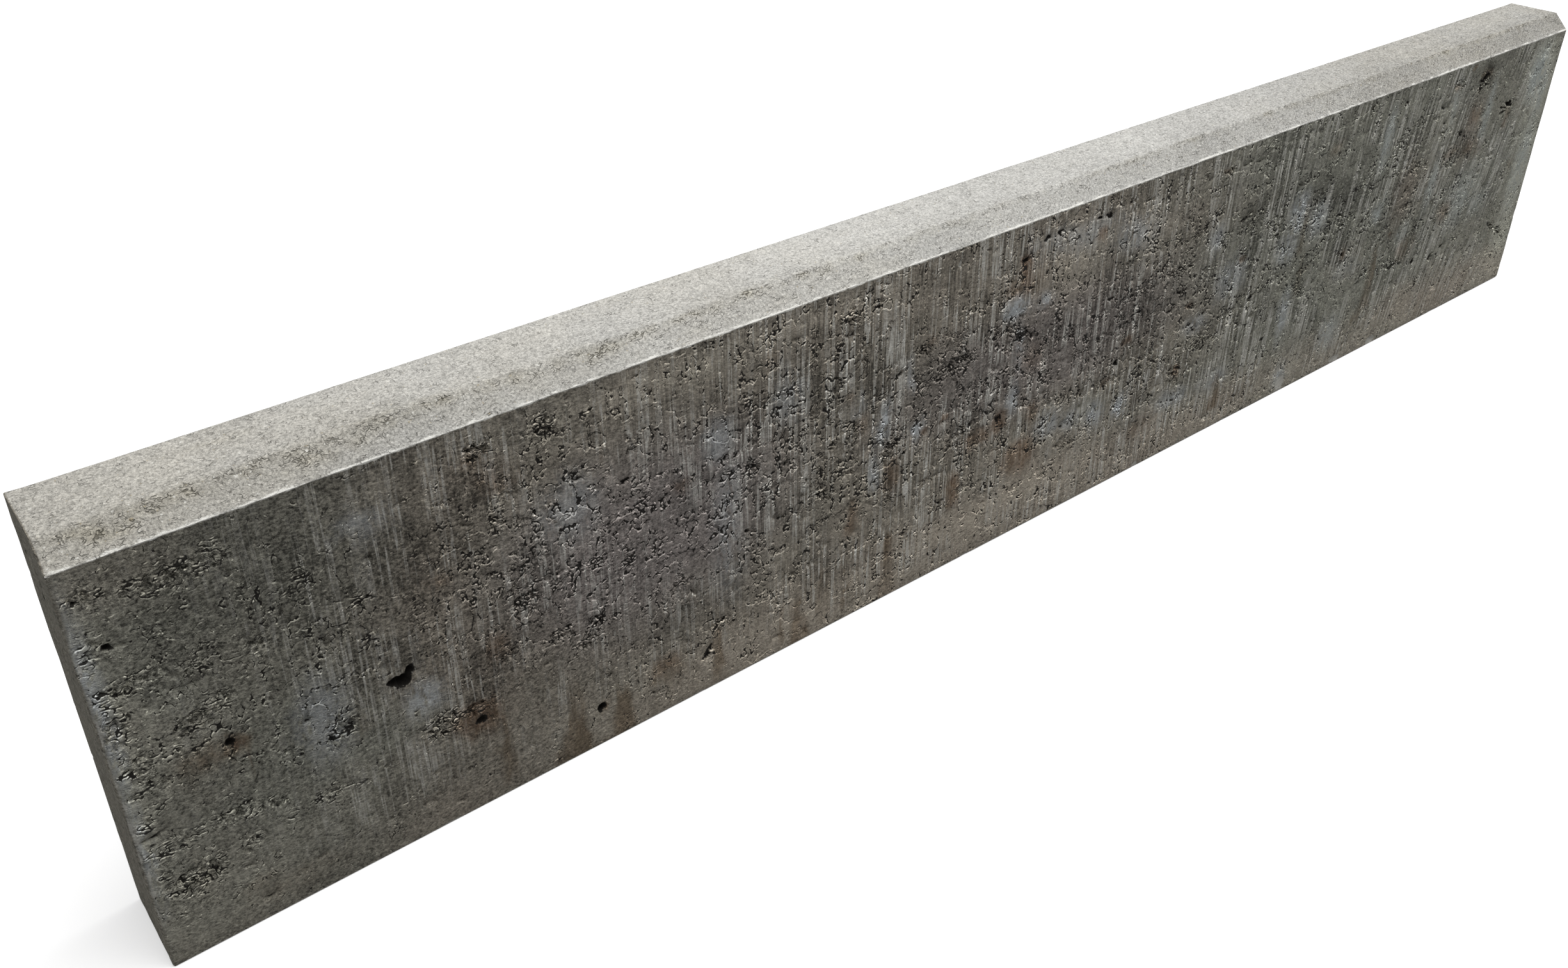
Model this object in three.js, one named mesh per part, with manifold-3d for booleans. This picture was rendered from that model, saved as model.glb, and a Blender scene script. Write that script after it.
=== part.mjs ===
// Concrete edging kerb, one metre long.
//
// A kerb like this is dry-cast. Stiff concrete is shaken down in an upright steel mould, a shaped
// shoe presses it from above, and the mould is drawn straight up off it. So its two long faces and
// its butt ends are plain and upright, the bed is flat, and the only shaped edge is the splay along
// the front of the top, which the shoe forms. Air that stays against the mould leaves blow-holes.
//
// Units are millimetres. X runs along the kerb, Y from its front (-Y) to its back (+Y), and Z up from
// the bed. The origin is the middle of the bed.

import * as THREE from "three";
import { mergeVertices } from "three/addons/utils/BufferGeometryUtils.js";
import Module from "manifold-3d";

// ---- driving dimensions ----------------------------------------------------------------------

const LENGTH = 1000; // butt end to butt end
const HEIGHT = 200; // bed to top
const THICKNESS = 43; // front face to back face
const SPLAY_DEPTH = 10; // how far the splay cuts back into the top
const SPLAY_DROP = 10; // how far it comes down the front face
const LONG_ARRIS = 1.5; // radius of the top back edge and of the two bed edges
const END_ARRIS = 1.5; // radius of the edges round each butt end
const ARRIS_STEPS = 4; // facets across one rounded arris

// Blow-holes that open in the front face. "along" is measured from the left butt end and "up" from
// the bed, to the middle of the hole. "wide" and "high" are its mouth, "deep" is how far it goes
// into the concrete, and "tilt" turns the mouth, in degrees, with the right side going up.
const BLOW_HOLES = [
  { along: 105.5, up: 87.5, wide: 6, high: 4.5, deep: 6, tilt: 0 },
  { along: 109, up: 86.5, wide: 6, high: 6, deep: 8, tilt: 0 },
  { along: 112, up: 90, wide: 3, high: 5.5, deep: 5, tilt: -15 },
  { along: 197, up: 22, wide: 5, high: 5, deep: 5.5, tilt: 30 },
  { along: 139, up: 48, wide: 5, high: 4, deep: 3, tilt: 0 },
  { along: 41, up: 94, wide: 3.5, high: 4, deep: 3, tilt: 15 },
  { along: 11, up: 155, wide: 3.5, high: 3, deep: 2.5, tilt: 0 },
  { along: 541, up: 82, wide: 4, high: 3.5, deep: 3, tilt: -20 },
  { along: 898, up: 176, wide: 7, high: 5, deep: 3.5, tilt: 20 },
  { along: 942, up: 149, wide: 4.5, high: 4.5, deep: 3, tilt: 0 },
];
const HOLE_SIDES = 16; // facets round a blow-hole
const HOLE_RINGS = 10; // facets from one pole of it to the other

const CONCRETE = new THREE.MeshStandardMaterial({ color: 0x5c5953, roughness: 0.92, metalness: 0 });

// ---- solids ----------------------------------------------------------------------------------

const wasm = await Module();
wasm.setup();

/** The closed solid that a three.js geometry bounds. */
function solidOf(geometry) {
  const bare = geometry.clone();
  bare.deleteAttribute("normal");
  bare.deleteAttribute("uv");
  const merged = mergeVertices(bare);
  const vertProperties = Float32Array.from(merged.attributes.position.array);
  const triVerts = Uint32Array.from(merged.index.array);
  return new wasm.Manifold(new wasm.Mesh({ numProp: 3, vertProperties, triVerts }));
}

/** The three.js geometry of a solid, with flat facets. */
function geometryOf(solid) {
  const { vertProperties, triVerts } = solid.getMesh();
  const geometry = new THREE.BufferGeometry();
  geometry.setAttribute("position", new THREE.BufferAttribute(vertProperties, 3));
  geometry.setIndex(new THREE.BufferAttribute(triVerts, 1));
  const facets = geometry.toNonIndexed();
  facets.computeVertexNormals();
  return facets;
}

/** A closed outline that rounds each of its corners by that corner's own radius. */
function roundedOutline(corners) {
  const outline = new THREE.Shape();
  corners.forEach(({ x, y, radius = 0 }, i) => {
    const here = new THREE.Vector2(x, y);
    const last = corners.at(i - 1);
    const next = corners[(i + 1) % corners.length];
    const toLast = new THREE.Vector2(last.x, last.y).sub(here).normalize();
    const toNext = new THREE.Vector2(next.x, next.y).sub(here).normalize();
    const halfAngle = toLast.angleTo(toNext) / 2;
    const setBack = radius / Math.tan(halfAngle);
    const start = here.clone().addScaledVector(toLast, setBack);
    if (i === 0) outline.moveTo(start.x, start.y);
    else outline.lineTo(start.x, start.y);
    if (radius === 0) return;
    const toCentre = toLast.clone().add(toNext).normalize();
    const centre = here.clone().addScaledVector(toCentre, radius / Math.sin(halfAngle));
    const end = here.clone().addScaledVector(toNext, setBack);
    const startAngle = start.sub(centre).angle();
    const endAngle = end.sub(centre).angle();
    outline.absarc(centre.x, centre.y, radius, startAngle, endAngle, false);
  });
  outline.closePath();
  return outline;
}

/** An outline swept straight, with its x and y laid along two of the kerb's own axes. */
function sweep(outline, depth, xAxis, yAxis) {
  const geometry = new THREE.ExtrudeGeometry(outline, {
    depth,
    bevelEnabled: false,
    curveSegments: ARRIS_STEPS,
  });
  const along = new THREE.Vector3().crossVectors(xAxis, yAxis);
  const start = along.clone().multiplyScalar(-depth / 2);
  const toKerb = new THREE.Matrix4().makeBasis(xAxis, yAxis, along).setPosition(start);
  return solidOf(geometry.applyMatrix4(toKerb));
}

const X = new THREE.Vector3(1, 0, 0);
const Y = new THREE.Vector3(0, 1, 0);
const Z = new THREE.Vector3(0, 0, 1);

/** The section across the kerb: a plain slab with the splay on its front top edge. */
function section() {
  const front = -THICKNESS / 2;
  const back = THICKNESS / 2;
  return roundedOutline([
    { x: front, y: 0, radius: LONG_ARRIS },
    { x: back, y: 0, radius: LONG_ARRIS },
    { x: back, y: HEIGHT, radius: LONG_ARRIS },
    { x: front + SPLAY_DEPTH, y: HEIGHT },
    { x: front, y: HEIGHT - SPLAY_DROP },
  ]);
}

/** A rectangle with its corners rounded to the end arris. */
function endRounding(low, high) {
  return roundedOutline([
    { x: low.x, y: low.y, radius: END_ARRIS },
    { x: high.x, y: low.y, radius: END_ARRIS },
    { x: high.x, y: high.y, radius: END_ARRIS },
    { x: low.x, y: high.y, radius: END_ARRIS },
  ]);
}

/** The cast block: what the section, the plan and the front elevation have in common. */
function castBlock() {
  const halfLength = LENGTH / 2;
  const halfThickness = THICKNESS / 2;
  const plan = endRounding(
    { x: -halfLength, y: -halfThickness },
    { x: halfLength, y: halfThickness },
  );
  const elevation = endRounding({ x: -halfLength, y: 0 }, { x: halfLength, y: HEIGHT });
  return sweep(section(), LENGTH, Y, Z)
    .intersect(sweep(plan, 2 * HEIGHT, X, Y))
    .intersect(sweep(elevation, THICKNESS, X, Z));
}

/** One blow-hole, as a round-bottomed pocket whose middle lies in the front face. */
function blowHole({ along, up, wide, high, deep, tilt }) {
  const pocket = new THREE.SphereGeometry(1, HOLE_SIDES, HOLE_RINGS)
    .scale(wide / 2, deep, high / 2)
    .rotateY(-THREE.MathUtils.degToRad(tilt))
    .translate(along - LENGTH / 2, -THICKNESS / 2, up);
  return solidOf(pocket);
}

const kerbSolid = BLOW_HOLES.reduce((solid, hole) => solid.subtract(blowHole(hole)), castBlock());

const kerbStone = new THREE.Mesh(geometryOf(kerbSolid), CONCRETE);
kerbStone.name = "kerb_stone";

const kerb = new THREE.Group();
kerb.add(kerbStone);

export default kerb;
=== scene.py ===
# %% [markdown]
# # A concrete edging kerb
#
# This lesson dresses one precast kerb: a metre of dry-cast concrete that stands on its long edge
# beside a path or a lawn. The block itself is simple. What makes it look like concrete is what the
# mould did to it: a tamped, sandy top, sides dragged by the steel as it was pulled off, torn
# pockets where stiff concrete didn't close, and years of damp and lime.
#
# The kerb is cast in one, so it stays one mesh. Its shape comes from numbers in millimetres, and
# the finish from nodes that need no pictures.

import math

import bpy
import numpy as np
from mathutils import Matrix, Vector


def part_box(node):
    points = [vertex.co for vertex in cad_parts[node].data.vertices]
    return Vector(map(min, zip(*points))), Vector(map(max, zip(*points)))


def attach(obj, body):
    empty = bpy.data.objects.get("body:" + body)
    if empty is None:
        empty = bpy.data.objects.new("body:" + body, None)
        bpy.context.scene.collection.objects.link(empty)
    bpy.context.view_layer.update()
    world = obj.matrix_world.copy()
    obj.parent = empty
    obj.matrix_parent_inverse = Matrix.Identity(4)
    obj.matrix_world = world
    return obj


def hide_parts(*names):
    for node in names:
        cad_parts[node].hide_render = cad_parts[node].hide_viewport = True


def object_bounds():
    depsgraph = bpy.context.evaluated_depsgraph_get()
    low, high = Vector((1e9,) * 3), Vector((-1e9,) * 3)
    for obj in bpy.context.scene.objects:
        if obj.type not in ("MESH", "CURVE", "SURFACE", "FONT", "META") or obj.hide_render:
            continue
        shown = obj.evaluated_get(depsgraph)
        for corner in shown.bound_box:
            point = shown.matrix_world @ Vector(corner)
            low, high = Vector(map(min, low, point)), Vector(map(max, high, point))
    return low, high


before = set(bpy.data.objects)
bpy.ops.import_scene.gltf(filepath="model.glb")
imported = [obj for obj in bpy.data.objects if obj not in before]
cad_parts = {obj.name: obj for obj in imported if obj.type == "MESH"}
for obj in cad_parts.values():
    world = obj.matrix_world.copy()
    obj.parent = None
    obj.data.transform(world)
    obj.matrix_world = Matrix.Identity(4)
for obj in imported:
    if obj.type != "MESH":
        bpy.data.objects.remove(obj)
cad_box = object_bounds()

MM = 0.001
block_low, block_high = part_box("kerb_stone")
LENGTH, THICKNESS, HEIGHT = (block_high - block_low) / MM
FRONT = -THICKNESS / 2
BACK = THICKNESS / 2
print(f"block {LENGTH:.0f} x {THICKNESS:.0f} x {HEIGHT:.0f} mm")

# %% [markdown]
# ## Where we look from
#
# The kerb is seen from its left end and above, from less than a metre away, so the near end looms.
# A camera on a line of sight is easy to think about: a point it looks at, the two angles it looks
# from, and how far back it stands. The frame is a little lower than the lens axis, so the camera
# gets a small vertical shift in place of a tilt, which keeps the upright edges as they are.

# %% Camera
VIEW_AZIMUTH = -38.45
VIEW_ELEVATION = 30.57
VIEW_DISTANCE = 0.6696
VIEW_TARGET = (-0.1808, 0.0, 0.1276)
LENS = 32.506
FRAME_SHIFT = -0.0516


def new_object(name, data):
    """An object that holds the data and is in the scene."""
    made = bpy.data.objects.new(name, data)
    bpy.context.scene.collection.objects.link(made)
    return made


def line_of_sight(azimuth, elevation):
    """The direction from the kerb back to the camera, azimuth 0 being square on to the front."""
    a, e = math.radians(azimuth), math.radians(elevation)
    return np.array([math.sin(a) * math.cos(e), -math.cos(a) * math.cos(e), math.sin(e)])


camera_data = bpy.data.cameras.new("camera")
camera_data.lens = LENS
camera_data.shift_y = FRAME_SHIFT
camera_data.clip_start = 0.01
camera = new_object("camera", camera_data)
camera.location = np.array(VIEW_TARGET) + VIEW_DISTANCE * line_of_sight(VIEW_AZIMUTH, VIEW_ELEVATION)
camera.rotation_euler = (math.radians(90 - VIEW_ELEVATION), 0, math.radians(VIEW_AZIMUTH))
bpy.context.scene.camera = camera
bpy.context.scene.view_settings.view_transform = "Standard"
print("camera at", [round(c, 3) for c in camera.location])

# %% [markdown]
# ## Smooth random numbers
#
# Relief on concrete is random, but not white noise: each bump has a size. A table of random values
# read with smooth steps between its entries gives one bump per unit, and a fixed seed gives the
# same kerb every time. Adding the same noise at half the size and half the strength makes it rough
# at several sizes at once.

# %% Noise
TABLE = 512


def smooth_noise(u, v, seed):
    """Values from -1 to 1, one bump per unit of u and v."""
    table = np.random.default_rng(seed).uniform(-1, 1, (TABLE, TABLE))
    iu, iv = np.floor(u).astype(int), np.floor(v).astype(int)
    fu, fv = u - iu, v - iv
    fu, fv = fu * fu * (3 - 2 * fu), fv * fv * (3 - 2 * fv)
    iu0, iv0, iu1, iv1 = iu % TABLE, iv % TABLE, (iu + 1) % TABLE, (iv + 1) % TABLE
    low = table[iu0, iv0] * (1 - fu) + table[iu1, iv0] * fu
    high = table[iu0, iv1] * (1 - fu) + table[iu1, iv1] * fu
    return low * (1 - fv) + high * fv


def rough_noise(u, v, seed, octaves=3):
    """Smooth noise with finer, weaker noise on it."""
    total, size = 0, 0
    for octave in range(octaves):
        weight = 0.5**octave
        total = total + weight * smooth_noise(u * 2**octave, v * 2**octave, seed + octave)
        size += weight
    return total / size


def ease(low, high, value):
    """0 below low, 1 above high, and a smooth step between."""
    t = np.clip((value - low) / (high - low), 0, 1)
    return t * t * (3 - 2 * t)


# %% [markdown]
# ## The blank
#
# The blank is a closed skin over the block, fine enough to carve. It starts as the six sides of a
# lattice box. The top is sheared down along the front to make the splay, and every edge is eased by
# a ball rolled inside it: each lattice point is pushed out from a smaller core, by the ball's
# radius. The ball shrinks along the splay, whose edges a steel shoe pressed sharp, and grows at the
# ends, where kerbs knock together.

# %% Lattice
STEP = 0.7
SPLAY_STEP = 0.55
TOP_STEP = 0.75
SPLAY = 10.0
SHEARED = 30.0


def stations(start, end, step):
    """Evenly spaced places from start to end, about a step apart."""
    return np.linspace(start, end, round((end - start) / step) + 1)


xs = stations(-LENGTH / 2, LENGTH / 2, STEP)
on_splay_ys = stations(FRONT, FRONT + SPLAY, SPLAY_STEP)
ys = np.concatenate([on_splay_ys, stations(FRONT + SPLAY, BACK, TOP_STEP)[1:]])
zs = stations(0, HEIGHT, STEP)


def side(a_count, b_count, place, flip):
    """The lattice indices of one side's points, and its four-cornered faces."""
    a, b = np.meshgrid(np.arange(a_count), np.arange(b_count), indexing="ij")
    points = np.stack(np.broadcast_arrays(*place(a, b)), -1).reshape(-1, 3)
    index = np.arange(a_count * b_count).reshape(a_count, b_count)
    corners = [index[:-1, :-1], index[1:, :-1], index[1:, 1:], index[:-1, 1:]]
    quads = np.stack(corners[::-1] if flip else corners, -1).reshape(-1, 4)
    return points, quads


nx, ny, nz = len(xs), len(ys), len(zs)
sides = [
    side(nx, nz, lambda i, k: (i, 0 * i, k), False),
    side(nx, nz, lambda i, k: (i, 0 * i + ny - 1, k), True),
    side(nx, ny, lambda i, j: (i, j, 0 * i + nz - 1), False),
    side(nx, ny, lambda i, j: (i, j, 0 * i), True),
    side(ny, nz, lambda j, k: (0 * j, j, k), True),
    side(ny, nz, lambda j, k: (0 * j + nx - 1, j, k), False),
]
starts = np.cumsum([0] + [len(points) for points, _ in sides])
all_points = np.concatenate([points for points, _ in sides])
all_quads = np.concatenate([quads + start for (_, quads), start in zip(sides, starts)])
keys = (all_points[:, 0] * ny + all_points[:, 1]) * nz + all_points[:, 2]
_, first, shared = np.unique(keys, return_index=True, return_inverse=True)
lattice = all_points[first]
quads = shared.ravel()[all_quads]
print(f"lattice {len(lattice)} points, {len(quads)} faces")

# %% Easing the edges
ARRIS = 1.2
SHARP_ARRIS = 0.35
TOP_END_ARRIS = 0.6
KNOCKED = 1.6

i, j, k = lattice.T
x, y, z = xs[i], ys[j], zs[k]
drop = SPLAY - np.clip(y - FRONT, 0, SPLAY)
z = z - drop * np.clip((z - (HEIGHT - SHEARED)) / SHEARED, 0, 1)
outer = np.stack([x, y, z], -1)

on_low_edge = (j == 0) * ease(6, 2, np.abs(z - (HEIGHT - SPLAY)))
on_high_edge = (k == nz - 1) * ease(4, 1, np.abs(y - FRONT - SPLAY))
sharp = np.clip(on_low_edge + on_high_edge, 0, 1) * ease(LENGTH / 2, LENGTH / 2 - 6, np.abs(x))
by_end = ease(LENGTH / 2 - 8, LENGTH / 2, np.abs(x))
knock = by_end * np.clip(0.4 + smooth_noise(x / 23 + 40, z / 19, 3), 0, 1)
knock *= ease(HEIGHT - SPLAY, HEIGHT - 25, z)
knock *= np.where(x < 0, ease(0, 30, z), 0.25)
radius = ARRIS + KNOCKED * knock
radius += (TOP_END_ARRIS - radius) * by_end * ease(HEIGHT - 25, HEIGHT - SPLAY, z)
radius += (SHARP_ARRIS - radius) * sharp


def core_of(p, r):
    """The nearest point of the block shrunk by r on every side."""
    qx = np.clip(p[:, 0], -LENGTH / 2 + r, LENGTH / 2 - r)
    qy = np.clip(p[:, 1], FRONT + r, BACK - r)
    qz = np.clip(p[:, 2], r, HEIGHT - r)
    # The shrunk splay runs up at 45 degrees from its lower corner. What is past it goes onto it.
    low_y = FRONT + r
    low_z = HEIGHT - SPLAY - r * (math.sqrt(2) - 1)
    rise = SPLAY - r * (2 - math.sqrt(2))
    past = (qz - low_z) > (qy - low_y)
    t = np.clip(((p[:, 1] - low_y) + (p[:, 2] - low_z)) / 2, 0, rise)
    qy = np.where(past, low_y + t, qy)
    qz = np.where(past, low_z + t, qz)
    return np.stack([qx, qy, qz], -1)


core = core_of(outer, radius)
outward = outer - core
outward /= np.linalg.norm(outward, axis=1)[:, None]
skin = core + outward * radius[:, None]
print("blank spans", np.ptp(skin, axis=0).round(3))

# %% [markdown]
# ## A map to carve on
#
# Carving is easier flat. The bed, the front, the splay, the top and the back are unrolled like the
# label of a tin: `along` runs from the left end, and `girth` runs up the front from the bed, over
# the top and down the back. One array holds how deep the concrete is cut at each place, and others
# hold how damp, rusty or limy it is. Each mark is stamped into the few cells around it, so hundreds
# of marks cost nothing. Every outline is shaken by noise first, because nothing torn is an ellipse.

# %% Unrolled map
PITCH = 0.5
FRONT_TOP = HEIGHT - SPLAY
SPLAY_TOP = FRONT_TOP + SPLAY * math.sqrt(2)
TOP_BACK = SPLAY_TOP + THICKNESS - SPLAY
BACK_FOOT = TOP_BACK + HEIGHT

along = np.arange(0, LENGTH + PITCH, PITCH)[:, None]
girth = np.arange(-THICKNESS, BACK_FOOT + PITCH, PITCH)[None, :]
blank_map = np.zeros((along.shape[0], girth.shape[1]))
print("map", blank_map.shape)


def rough_map(long, high, seed, octaves=3):
    """Rough noise over the map, with bumps that are long by high, in mm."""
    return rough_noise(along / long, girth / high, seed, octaves)


def shake(seed):
    """How far the outline of a mark strays, in mm."""
    return 0.7 * rough_map(2.6, 2.6, seed, 1) + 0.45 * rough_map(1.1, 1.1, seed + 1, 1)


shake_u, shake_v = shake(11), shake(13)
shake_far_u, shake_far_v = rough_map(24, 24, 15), rough_map(24, 24, 16)


def stamp_area(a, g, reach):
    """The cells within reach of a place, in mm."""
    a0 = max(int((a - reach) / PITCH), 0)
    g0 = max(int((g + THICKNESS - reach) / PITCH), 0)
    size = int(2 * reach / PITCH) + 2
    return slice(a0, a0 + size), slice(g0, g0 + size)


def around(area, a, g, half_wide, half_high, tilt=0, shaken=1.0):
    """Places in the area seen from a mark's middle: 1 unit is its half width or half height."""
    du = along[area[0]] - a + shaken * shake_u[area]
    dv = girth[:, area[1]] - g + shaken * shake_v[area]
    c, s = math.cos(math.radians(tilt)), math.sin(math.radians(tilt))
    return (c * du + s * dv) / half_wide, (c * dv - s * du) / half_high


# %% [markdown]
# ## What the mould left
#
# Four things broke the skin of the front as the steel went past it:
#
# - Blow-holes, where air stayed against the mould. They are round and deep. They are in the packed
#   block too, so these numbers are the same.
# - Honeycomb, where there was too little paste. Bare grains stand between black crevices.
# - Torn pockets: the moving mould dragged a flake down and out. Each starts gently at its upper
#   end and stops at a steep lower lip, which catches the light.
# - Cracks and ledges, which are long and thin.
#
# The big ones are listed, as a real kerb's are worth studying one at a time. All the lists
# give along, girth (which on the front is the height above the bed), half width, half height, and
# tilt in degrees.

# %% Blow-holes
BLOW_HOLES = [
    # along, up, wide, high, deep, tilt
    (105.5, 87.5, 6, 4.5, 6, 0), (109, 86.5, 6, 6, 8, 0), (112, 90, 3, 5.5, 5, -15),
    (197, 22, 5, 5, 5.5, 30), (139, 48, 5, 4, 3, 0), (41, 94, 3.5, 4, 3, 15),
    (11, 155, 3.5, 3, 2.5, 0), (541, 82, 4, 3.5, 3, -20), (898, 176, 7, 5, 3.5, 20),
    (942, 149, 4.5, 4.5, 3, 0),
]
print(len(BLOW_HOLES), "blow-holes")

# %% Honeycomb
HONEYCOMB = [
    # along, girth, half width, half height, tilt, how open
    (10, 177, 8, 4, 0, 1.0), (33, 174, 13, 5, 0, 1.0), (53, 174, 5, 4, 0, 0.9),
    (5, 160, 5, 10, 0, 0.8), (6, 120, 6, 9, 0, 0.8), (8, 101, 7, 6, 0, 0.7), (11, 90, 9, 4, 0, 0.6),
    (4, 74, 5, 6, 0, 0.7), (12, 24, 9, 5, 0, 0.5), (28, 97, 8, 3, 20, 0.5), (36, 24, 12, 5, 0, 0.4),
    (10, 136, 9, 4, 0, 0.9), (22, 137, 5, 3, 0, 0.7), (38, 133, 6, 3, 0, 0.7),
    (58, 131, 6, 5, 0, 0.8), (35, 112, 14, 4, 20, 0.8), (22, 101, 6, 3, 0, 0.5),
    (82, 77, 9, 5, 45, 1.0), (62, 77, 6, 2, 0, 0.8), (38, 60, 8, 5, 0, 0.9),
    (50, 57, 10, 2.5, -8, 0.7), (15, 60, 14, 5, 0, 0.6), (17, 38, 12, 6, 0, 1.0),
    (40, 43, 5, 4, 0, 0.7), (72, 48, 7, 4, 0, 0.6), (123, 54, 10, 6, -10, 0.8),
    (138, 55, 7, 5, 0, 0.7), (96, 133, 5, 3, 0, 0.9), (78, 152, 5, 4, 0, 0.6),
    (80, 128, 6, 4, 0, 0.5), (152, 177, 6, 3, 0, 0.9), (180, 177, 9, 3, 0, 1.0),
    (202, 176, 6, 2, 0, 0.8), (157, 142, 4, 6, 0, 0.8), (172, 138, 6, 3, 0, 0.8),
    (162, 154, 5, 3, 0, 0.7), (222, 152, 4, 3, 0, 0.8), (235, 132, 5, 2, 0, 0.7),
    (207, 120, 6, 3, 0, 0.7), (164, 102, 8, 5, -40, 0.8), (200, 102, 4, 5, 0, 0.8),
    (180, 73, 6, 3, 0, 0.9), (198, 71, 6, 3, -15, 0.9), (155, 76, 6, 5, 0, 0.7),
    (192, 62, 5, 3, -20, 0.8), (242, 70, 7, 3, 0, 0.9), (217, 95, 3, 5, 0, 0.8),
    (243, 39, 6, 2, 0, 0.7), (262, 35, 5, 4, 45, 0.9), (279, 176, 6, 2.5, 0, 0.8),
    (342, 175, 8, 3, 0, 0.9), (360, 177, 5, 3, 0, 0.7), (305, 148, 9, 3, 0, 0.7),
    (284, 115, 6, 3, -40, 1.0), (325, 85, 9, 3.5, -45, 1.0), (333, 110, 5, 3, 0, 0.7),
    (360, 122, 5, 3, 0, 0.7), (345, 114, 9, 3, -15, 0.7), (390, 140, 6, 3, -15, 1.0),
    (413, 127, 13, 5, 0, 0.9), (370, 94, 7, 4, 25, 1.0), (412, 81, 13, 4, 15, 0.9),
    (487, 77, 8, 3, 10, 0.8), (365, 63, 6, 2, 0, 0.9), (457, 128, 8, 5, 0, 0.8),
    (382, 37, 6, 2, 0, 0.8), (590, 127, 14, 7, -10, 0.7), (597, 57, 7, 4, 0, 1.0),
    (507, 43, 8, 3, 0, 0.9), (677, 130, 12, 5, 0, 0.8), (683, 121, 4, 2, -30, 1.0),
    (545, 108, 10, 3, -30, 0.6), (627, 68, 14, 4, -15, 0.7), (575, 72, 8, 3, -35, 0.8),
    (737, 118, 8, 5, 0, 0.6), (712, 84, 7, 4, 0, 0.7), (722, 72, 5, 4, 0, 0.7),
    (865, 177, 8, 4, 0, 0.9), (897, 175, 7, 5, 0, 1.0), (894, 170, 4, 4, 0, 1.0),
    (940, 147, 10, 3, -10, 0.9), (775, 131, 12, 3, -20, 0.8),
    (755, 112, 9, 6, 0, 0.8), (840, 127, 9, 2.5, -25, 0.9), (832, 101, 12, 4, 0, 0.7),
    (893, 122, 16, 3, 0, 0.6), (832, 59, 13, 2.5, -5, 1.0), (845, 79, 6, 3, 30, 0.7),
    (890, 80, 4, 6, 30, 0.7), (972, 47, 14, 3, -27, 0.9), (962, 62, 5, 5, 0, 0.6),
    (988, 127, 6, 3, 0, 0.7), (966, 98, 6, 3, -15, 0.7), (795, 66, 8, 3, -30, 0.8),
    (915, 57, 8, 2, 10, 0.6), (884, 50, 4, 3, 45, 0.8), (938, 78, 6, 4, 0, 0.5),
]
print(len(HONEYCOMB), "honeycomb patches")

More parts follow.
